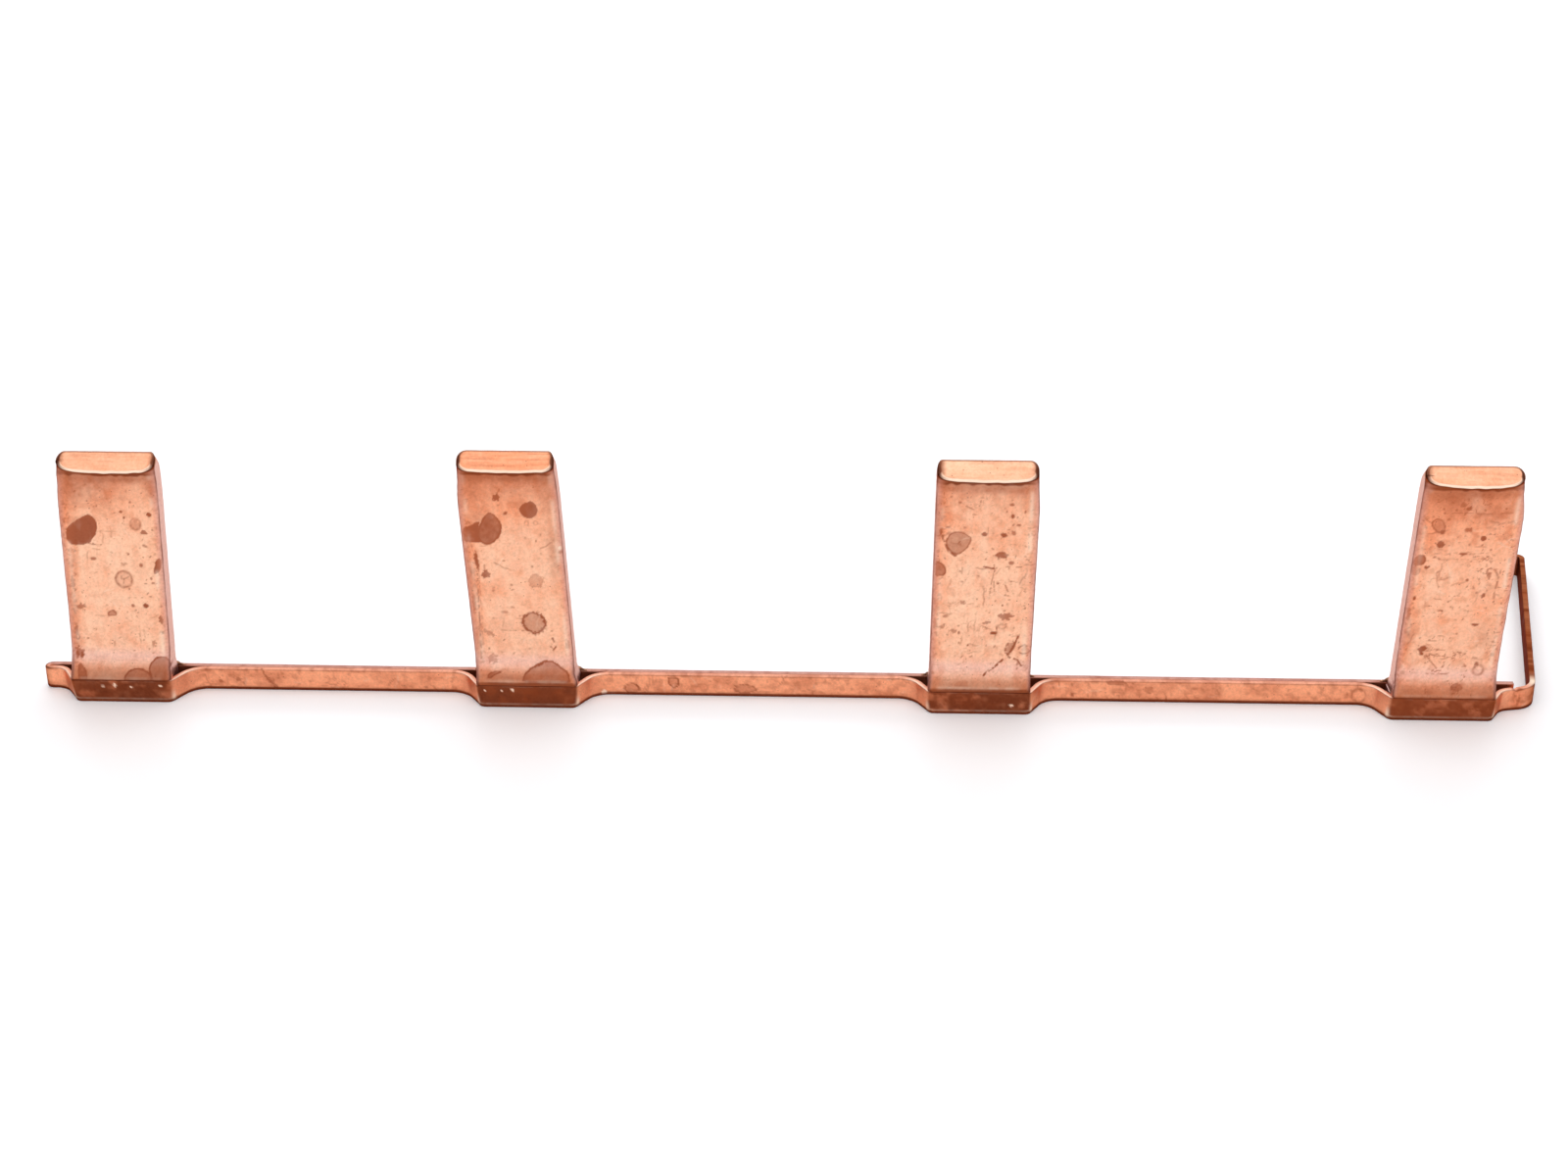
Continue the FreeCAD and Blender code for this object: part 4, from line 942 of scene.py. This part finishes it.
    # painted highlights along the top edges of the flares, down the toe corners and on the leg's near corner, and thin
    # painted light lines low on the toe faces and along their top edge
    lip = top * flare * step(0.2, -0.2, n) * (0.4 + 0.7 * fine)
    corner = np.zeros(n.shape)
    for k in BLADES:
        w = np.abs(x - BLADES[k][0])
        corner = np.maximum(corner, bump(w, 6.13, 0.13) * faced * step(1.9, 0.4, z))
    leg_corner_highlight = bump(x, 88.0, 0.7) * bump(y, -16.6, 1.3) * top
    bright = 0.95 * spark + 0.5 * shine * faced * (1 - toe) + 0.62 * lip + 0.95 * corner * (0.6 + 0.6 * fine) + 1.0 * leg_corner_highlight + 0.04 * flare * faced + glint \
        + toe * faced * (0.26 * bump(z, 0.50, 0.08) * (0.55 + 0.45 * step(0.35, 0.65, fine)) + 0.15 * bump(z, 2.80, 0.07) * step(4.9, 3.9, near_toe) * step(0.35, 0.6, fine))
    heat_and_shade = heat_and_shade * (1 - 0.9 * spark)
    paint = np.stack([film, np.clip(heat_and_shade, 0, 0.97 + 0.03 * contact_shade), bright * (1 - contact_shade)], -1)
    orange = 0.26 * flare * outer + 0.35 * step(0.45, 0.75, cloud) + 0.9 * scorch
    orange = orange + (1 - contact_shade) * toe * (0.08 + 0.70 * step(66.0, 70.0, x) + 0.5 * step(0.48, 0.70, patchy))
    # pale pink on the tops of the strip, more on the rear layer: painted reflection
    pale_reflection = np.where(layer, 0.20, 0.55) * top * (1 - toe) * (1 - leg)
    tone = np.stack([orange, pale_reflection, 0.5 + 0.3 * (fine - 0.5)], -1)
    half_top = ns // 2
    run_a = np.arange(-half_top - nc, nf + nc + half_top)
    run_b = run_a[-1] + 1 + np.arange(len(run_a))[::-1]
    return grid_piece("strip_folded", rings, (run_a, run_b), (run_a, run_b), paint, tone, 8)


# ----------------------------------------------------------------- beads ---


def bead(number):
    """The run of filler behind a blade: a hollow fillet with soft ends."""
    cx = BLADES[number][0]
    half, size = BLADE_W / 2 + 0.69, 0.69
    seed = 700 + number
    rings, hot = [], []
    xs = np.linspace(-half, half, 150)
    for i, x in enumerate(xs):
        tail = step(half, half - 1.0, abs(x))
        grow = (0.10 + 0.90 * tail) * (0.84 + 0.16 * noise(x * 1.3, 0, seed))
        k = np.linspace(0, 1, 12)
        hollow = 0.26 * np.sin(math.pi * k) * (0.8 + 0.4 * noise(x * 0.9, 2, seed))
        y = BACK_Y + 0.004 + (STRIP_T - 0.01) * np.clip(k - hollow, 0, 1) * (0.72 + 0.28 * grow)
        z = STRIP_H + 0.003 + size * np.clip(1 - k - hollow, 0, 1) * grow
        z = z + 0.03 * (noise(x * 2.5, k * 4, seed + 3) - 0.5) * np.sin(math.pi * k) * tail
        back = np.linspace(1, 0, 6)[1:-1]
        yb = np.concatenate([y, BACK_Y + 0.004 + (y[-1] - BACK_Y) * back, [BACK_Y + 0.004]])
        zb = np.concatenate([z, np.full(4, STRIP_H + 0.002), [STRIP_H + 0.002]])
        rings.append(np.stack([np.full(len(yb), cx + x), yb, np.maximum(zb, STRIP_H + 0.002)], -1))
        hot.append(np.full(len(yb), noise(x * 0.8, 5, seed)))
    rings, hot = np.array(rings)[:, ::-1], np.array(hot)
    p = rings.shape[1]
    paint = np.stack([0.35 * hot, 0.25 * hot, 0.12 * (1 - hot)], -1)
    tone = np.stack([0.4 + 0 * hot, 0 * hot, 0.35 + 0 * hot], -1)
    a = np.arange(p // 2)
    b = p - 1 - a
    return grid_piece("filler_bead_%d" % number, rings, (a, b), (a, b), paint, tone)


# -------------------------------------------------------------- material ---


class Tree:
    """Short hand for building a node tree."""

    def __init__(self, tree):
        self.t = tree

    def set(self, socket, v):
        if isinstance(v, bpy.types.NodeSocket):
            self.t.links.new(v, socket)
        elif isinstance(v, tuple) and len(v) == 3 and socket.type == "RGBA":
            socket.default_value = (*v, 1.0)
        else:
            socket.default_value = v

    def add(self, kind, ins=None, **props):
        n = self.t.nodes.new(kind)
        for k, v in props.items():
            setattr(n, k, v)
        for k, v in (ins or {}).items():
            self.set(n.inputs[k], v)
        return n

    def mix(self, f, a, b, mode="MIX"):
        n = self.t.nodes.new("ShaderNodeMix")
        n.data_type = "RGBA"
        n.blend_type = mode
        for k, v in ((0, f), (6, a), (7, b)):
            self.set(n.inputs[k], v)
        return n.outputs[2]

    def math(self, op, a, b=0.0, c=0.0, clamp=False):
        n = self.t.nodes.new("ShaderNodeMath")
        n.operation = op
        n.use_clamp = clamp
        for k, v in enumerate((a, b, c)):
            self.set(n.inputs[k], v)
        return n.outputs[0]

    def ramp(self, x, lo, hi, a=0.0, b=1.0):
        n = self.t.nodes.new("ShaderNodeMapRange")
        n.interpolation_type = "SMOOTHSTEP"
        self.t.links.new(x, n.inputs["Value"])
        for k, v in (("From Min", lo), ("From Max", hi), ("To Min", a), ("To Max", b)):
            n.inputs[k].default_value = v
        return n.outputs["Result"]


def copper(name, light, deep, grain, rough):
    m = bpy.data.materials.new(name)
    m.use_nodes = True
    nt = m.node_tree
    nt.nodes.clear()
    T = Tree(nt)
    out = T.add("ShaderNodeOutputMaterial")
    sh = T.add("ShaderNodeBsdfPrincipled", {"Metallic": 1.0})
    nt.links.new(sh.outputs[0], out.inputs["Surface"])
    co = T.add("ShaderNodeTexCoord").outputs["Object"]
    mm = T.add("ShaderNodeMapping", {"Vector": co, "Scale": (1000, 1000, 1000)}).outputs[0]
    lines = T.add("ShaderNodeMapping", {"Vector": co, "Scale": grain}).outputs[0]
    paint = T.add("ShaderNodeAttribute", attribute_name="paint")
    tone = T.add("ShaderNodeAttribute", attribute_name="tone")
    p = T.add("ShaderNodeSeparateColor", {0: paint.outputs["Color"]})
    q = T.add("ShaderNodeSeparateColor", {0: tone.outputs["Color"]})
    broad = T.add("ShaderNodeTexNoise", {"Vector": mm, "Scale": 0.28, "Detail": 4.0,
                                         "Roughness": 0.6}).outputs[0]
    fine = T.add("ShaderNodeTexNoise", {"Vector": mm, "Scale": 3.2, "Detail": 5.0,
                                        "Roughness": 0.65}).outputs[0]
    streak = T.add("ShaderNodeTexNoise", {"Vector": lines, "Scale": 1.0, "Detail": 4.0,
                                          "Roughness": 0.6}).outputs[0]
    pit = T.add("ShaderNodeTexVoronoi", {"Vector": mm, "Scale": 1.3, "Randomness": 1.0})
    where = T.ramp(broad, 0.44, 0.60)
    pits = T.math("MULTIPLY", T.ramp(pit.outputs["Distance"], 0.14, 0.05), where)
    shade = T.math("ADD", T.math("MULTIPLY", broad, 0.6), T.math("MULTIPLY", streak, 0.5))
    shade = T.ramp(shade, 0.38, 0.78)
    orange = T.math("ADD", T.math("MULTIPLY", shade, 0.35), q.outputs[0], clamp=True)
    col = T.mix(orange, light, deep)
    # the tone's second channel mixes in pale pink: painted reflection
    col = T.mix(q.outputs[1], col, (0.78, 0.56, 0.55))
    dull = T.math("MAXIMUM", p.outputs[1], T.math("MULTIPLY", p.outputs[0], 0.6))
    glance = T.mix(dull, (0.72, 0.54, 0.48), (0.34, 0.17, 0.12))
    nt.links.new(glance, sh.inputs["Specular Tint"])
    speckle = T.ramp(fine, 0.35, 0.70)
    film = T.mix(speckle, (0.38, 0.100, 0.046), (0.27, 0.066, 0.029))
    film = T.mix(T.math("MULTIPLY", q.outputs[0], 0.6), film, (0.50, 0.125, 0.048))
    col = T.mix(p.outputs[0], col, film)
    # dark brown for heat tint and for painted shade
    heat_and_shade = T.mix(speckle, (0.215, 0.049, 0.019), (0.135, 0.028, 0.010))
    heat_and_shade = T.mix(T.math("MULTIPLY", q.outputs[0], 0.5), heat_and_shade, (0.37, 0.082, 0.026))
    col = T.mix(p.outputs[1], col, heat_and_shade)
    col = T.mix(T.math("MULTIPLY", pits, 0.75), col, (0.26, 0.085, 0.05))
    grainy = T.ramp(fine, 0.28, 0.72, 0.87, 1.08)
    gain = T.add("ShaderNodeCombineColor", {0: grainy, 1: grainy, 2: grainy}).outputs[0]
    col = T.mix(1.0, col, gain, "MULTIPLY")
    # the third paint channel mixes in pale cream: worn bright metal and painted highlights
    col = T.mix(p.outputs[2], col, (1.0, 0.82, 0.64))
    nt.links.new(col, sh.inputs["Base Color"])
    r = T.math("ADD", T.math("MULTIPLY", streak, 0.12), rough - 0.06)
    r = T.math("ADD", r, T.math("MULTIPLY", p.outputs[0], 0.12))
    r = T.math("ADD", r, T.math("MULTIPLY", p.outputs[1], 0.10))
    r = T.math("ADD", r, T.math("MULTIPLY_ADD", q.outputs[2], 0.3, -0.15), clamp=True)
    nt.links.new(r, sh.inputs["Roughness"])
    h = T.math("ADD", T.math("MULTIPLY", fine, 0.6), T.math("MULTIPLY", streak, 0.4))
    h = T.math("SUBTRACT", h, T.math("MULTIPLY", pits, 1.2))
    b = T.add("ShaderNodeBump", {"Height": h, "Strength": 0.35, "Distance": 0.000012})
    nt.links.new(b.outputs[0], sh.inputs["Normal"])
    return m


blade_copper = copper("blade_copper", (1.0, 0.60, 0.40), (0.90, 0.345, 0.18),
                      (900, 900, 160), 0.34)
strip_copper = copper("strip_copper", (0.97, 0.41, 0.225), (0.84, 0.295, 0.15),
                      (160, 700, 1400), 0.36)
bead_copper = copper("filler_copper", (0.86, 0.47, 0.27), (0.66, 0.29, 0.14),
                     (700, 700, 700), 0.30)


def show(obj, material, node):
    obj.data.materials.append(material)
    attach(obj, "root")
    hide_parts(node)


for k in BLADES:
    show(blade(k), blade_copper, "blade_%d" % k)
    show(bead(k), bead_copper, "braze_beads")
show(strip(), strip_copper, "carrier_strip")

# ----------------------------------------------------- floor, light, camera -
floor = bpy.data.meshes.new("floor")
floor.from_pydata([(-3, -3, 0), (3, -3, 0), (3, 3, 0), (-3, 3, 0)], [], [(0, 1, 2, 3)])
floor_obj = bpy.data.objects.new("floor", floor)
bpy.context.scene.collection.objects.link(floor_obj)
fm = bpy.data.materials.new("pale_floor")
fm.use_nodes = True
fb = fm.node_tree.nodes["Principled BSDF"]
fb.inputs["Base Color"].default_value = (0.92, 0.92, 0.925, 1)
fb.inputs["Roughness"].default_value = 0.40
fb.inputs["Specular IOR Level"].default_value = 0.3
fb.inputs["Emission Color"].default_value = (1, 1, 1, 1)
fb.inputs["Emission Strength"].default_value = 0.06
floor.materials.append(fm)

world = bpy.data.worlds.new("studio")
bpy.context.scene.world = world
world.use_nodes = True
W = Tree(world.node_tree)
bg = world.node_tree.nodes["Background"]
way = W.add("ShaderNodeTexCoord").outputs["Generated"]
xyz = W.add("ShaderNodeSeparateXYZ", {0: way})
back = W.ramp(xyz.outputs["Y"], -0.2, 0.3)
wide = W.ramp(W.math("ABSOLUTE", xyz.outputs["X"]), 0.50, 0.85)
top = W.ramp(xyz.outputs["Z"], 0.60, 0.88)
fore = W.mix(W.ramp(xyz.outputs["Z"], 0.20, 0.68), (1.12, 1.06, 1.07), (0.52, 0.48, 0.49))
sky = W.mix(back, fore, (0.80, 0.80, 0.86))
sky = W.mix(wide, sky, (0.30, 0.25, 0.26))
sky = W.mix(top, sky, (0.70, 0.70, 0.70))
world.node_tree.links.new(sky, bg.inputs["Color"])
bg.inputs["Strength"].default_value = 1.0


def softbox(name, place, target, size, power):
    lamp = bpy.data.lights.new(name, "AREA")
    lamp.shape = "RECTANGLE"
    lamp.size, lamp.size_y = size
    lamp.energy = power
    o = bpy.data.objects.new(name, lamp)
    d = np.array(target) - np.array(place)
    z = -d / np.linalg.norm(d)
    x = np.cross((0, 1, 0.001), z)
    x = x / np.linalg.norm(x)
    y = np.cross(z, x)
    o.matrix_world = Matrix([[x[i], y[i], z[i], place[i]] for i in range(3)] + [[0, 0, 0, 1]])
    bpy.context.scene.collection.objects.link(o)
    return o


softbox("overhead", (0.0, -0.33, 0.80), (0, 0, 0), (1.1, 0.6), 1.50)
softbox("rear", (0.0, 0.50, 0.62), (0, 0, 0), (1.6, 0.55), 2.2).visible_diffuse = False
softbox("floor_fill", (0.0, 0.10, 0.95), (0, 0, 0), (1.6, 0.9), 3.2).visible_glossy = False
softbox("floor_low", (0.0, 0.90, 0.34), (0, 0, 0), (2.2, 0.30), 7.0).visible_glossy = False

pitch, yaw, roll = (math.radians(a) for a in (25.0, -2.041, -0.131))
fwd = np.array([math.sin(yaw) * math.cos(pitch), math.cos(yaw) * math.cos(pitch), -math.sin(pitch)])
right = np.array([math.cos(yaw), -math.sin(yaw), 0.0])
up = np.cross(right, fwd)
r2 = math.cos(roll) * right + math.sin(roll) * up
u2 = -math.sin(roll) * right + math.cos(roll) * up
cam = bpy.data.cameras.new("photo_view")
cam.sensor_fit = "HORIZONTAL"
cam.sensor_width = 36.0
cam.lens = 36.0 * 2509.622 / 1600.0
cam.clip_start = 0.01
cam_obj = bpy.data.objects.new("photo_view", cam)
eye = (0.0059564, -0.288085, 0.140895)
cam_obj.matrix_world = Matrix([[r2[i], u2[i], -fwd[i], eye[i]] for i in range(3)] + [[0, 0, 0, 1]])
bpy.context.scene.collection.objects.link(cam_obj)
bpy.context.scene.camera = cam_obj
bpy.context.scene.view_settings.view_transform = "Standard"
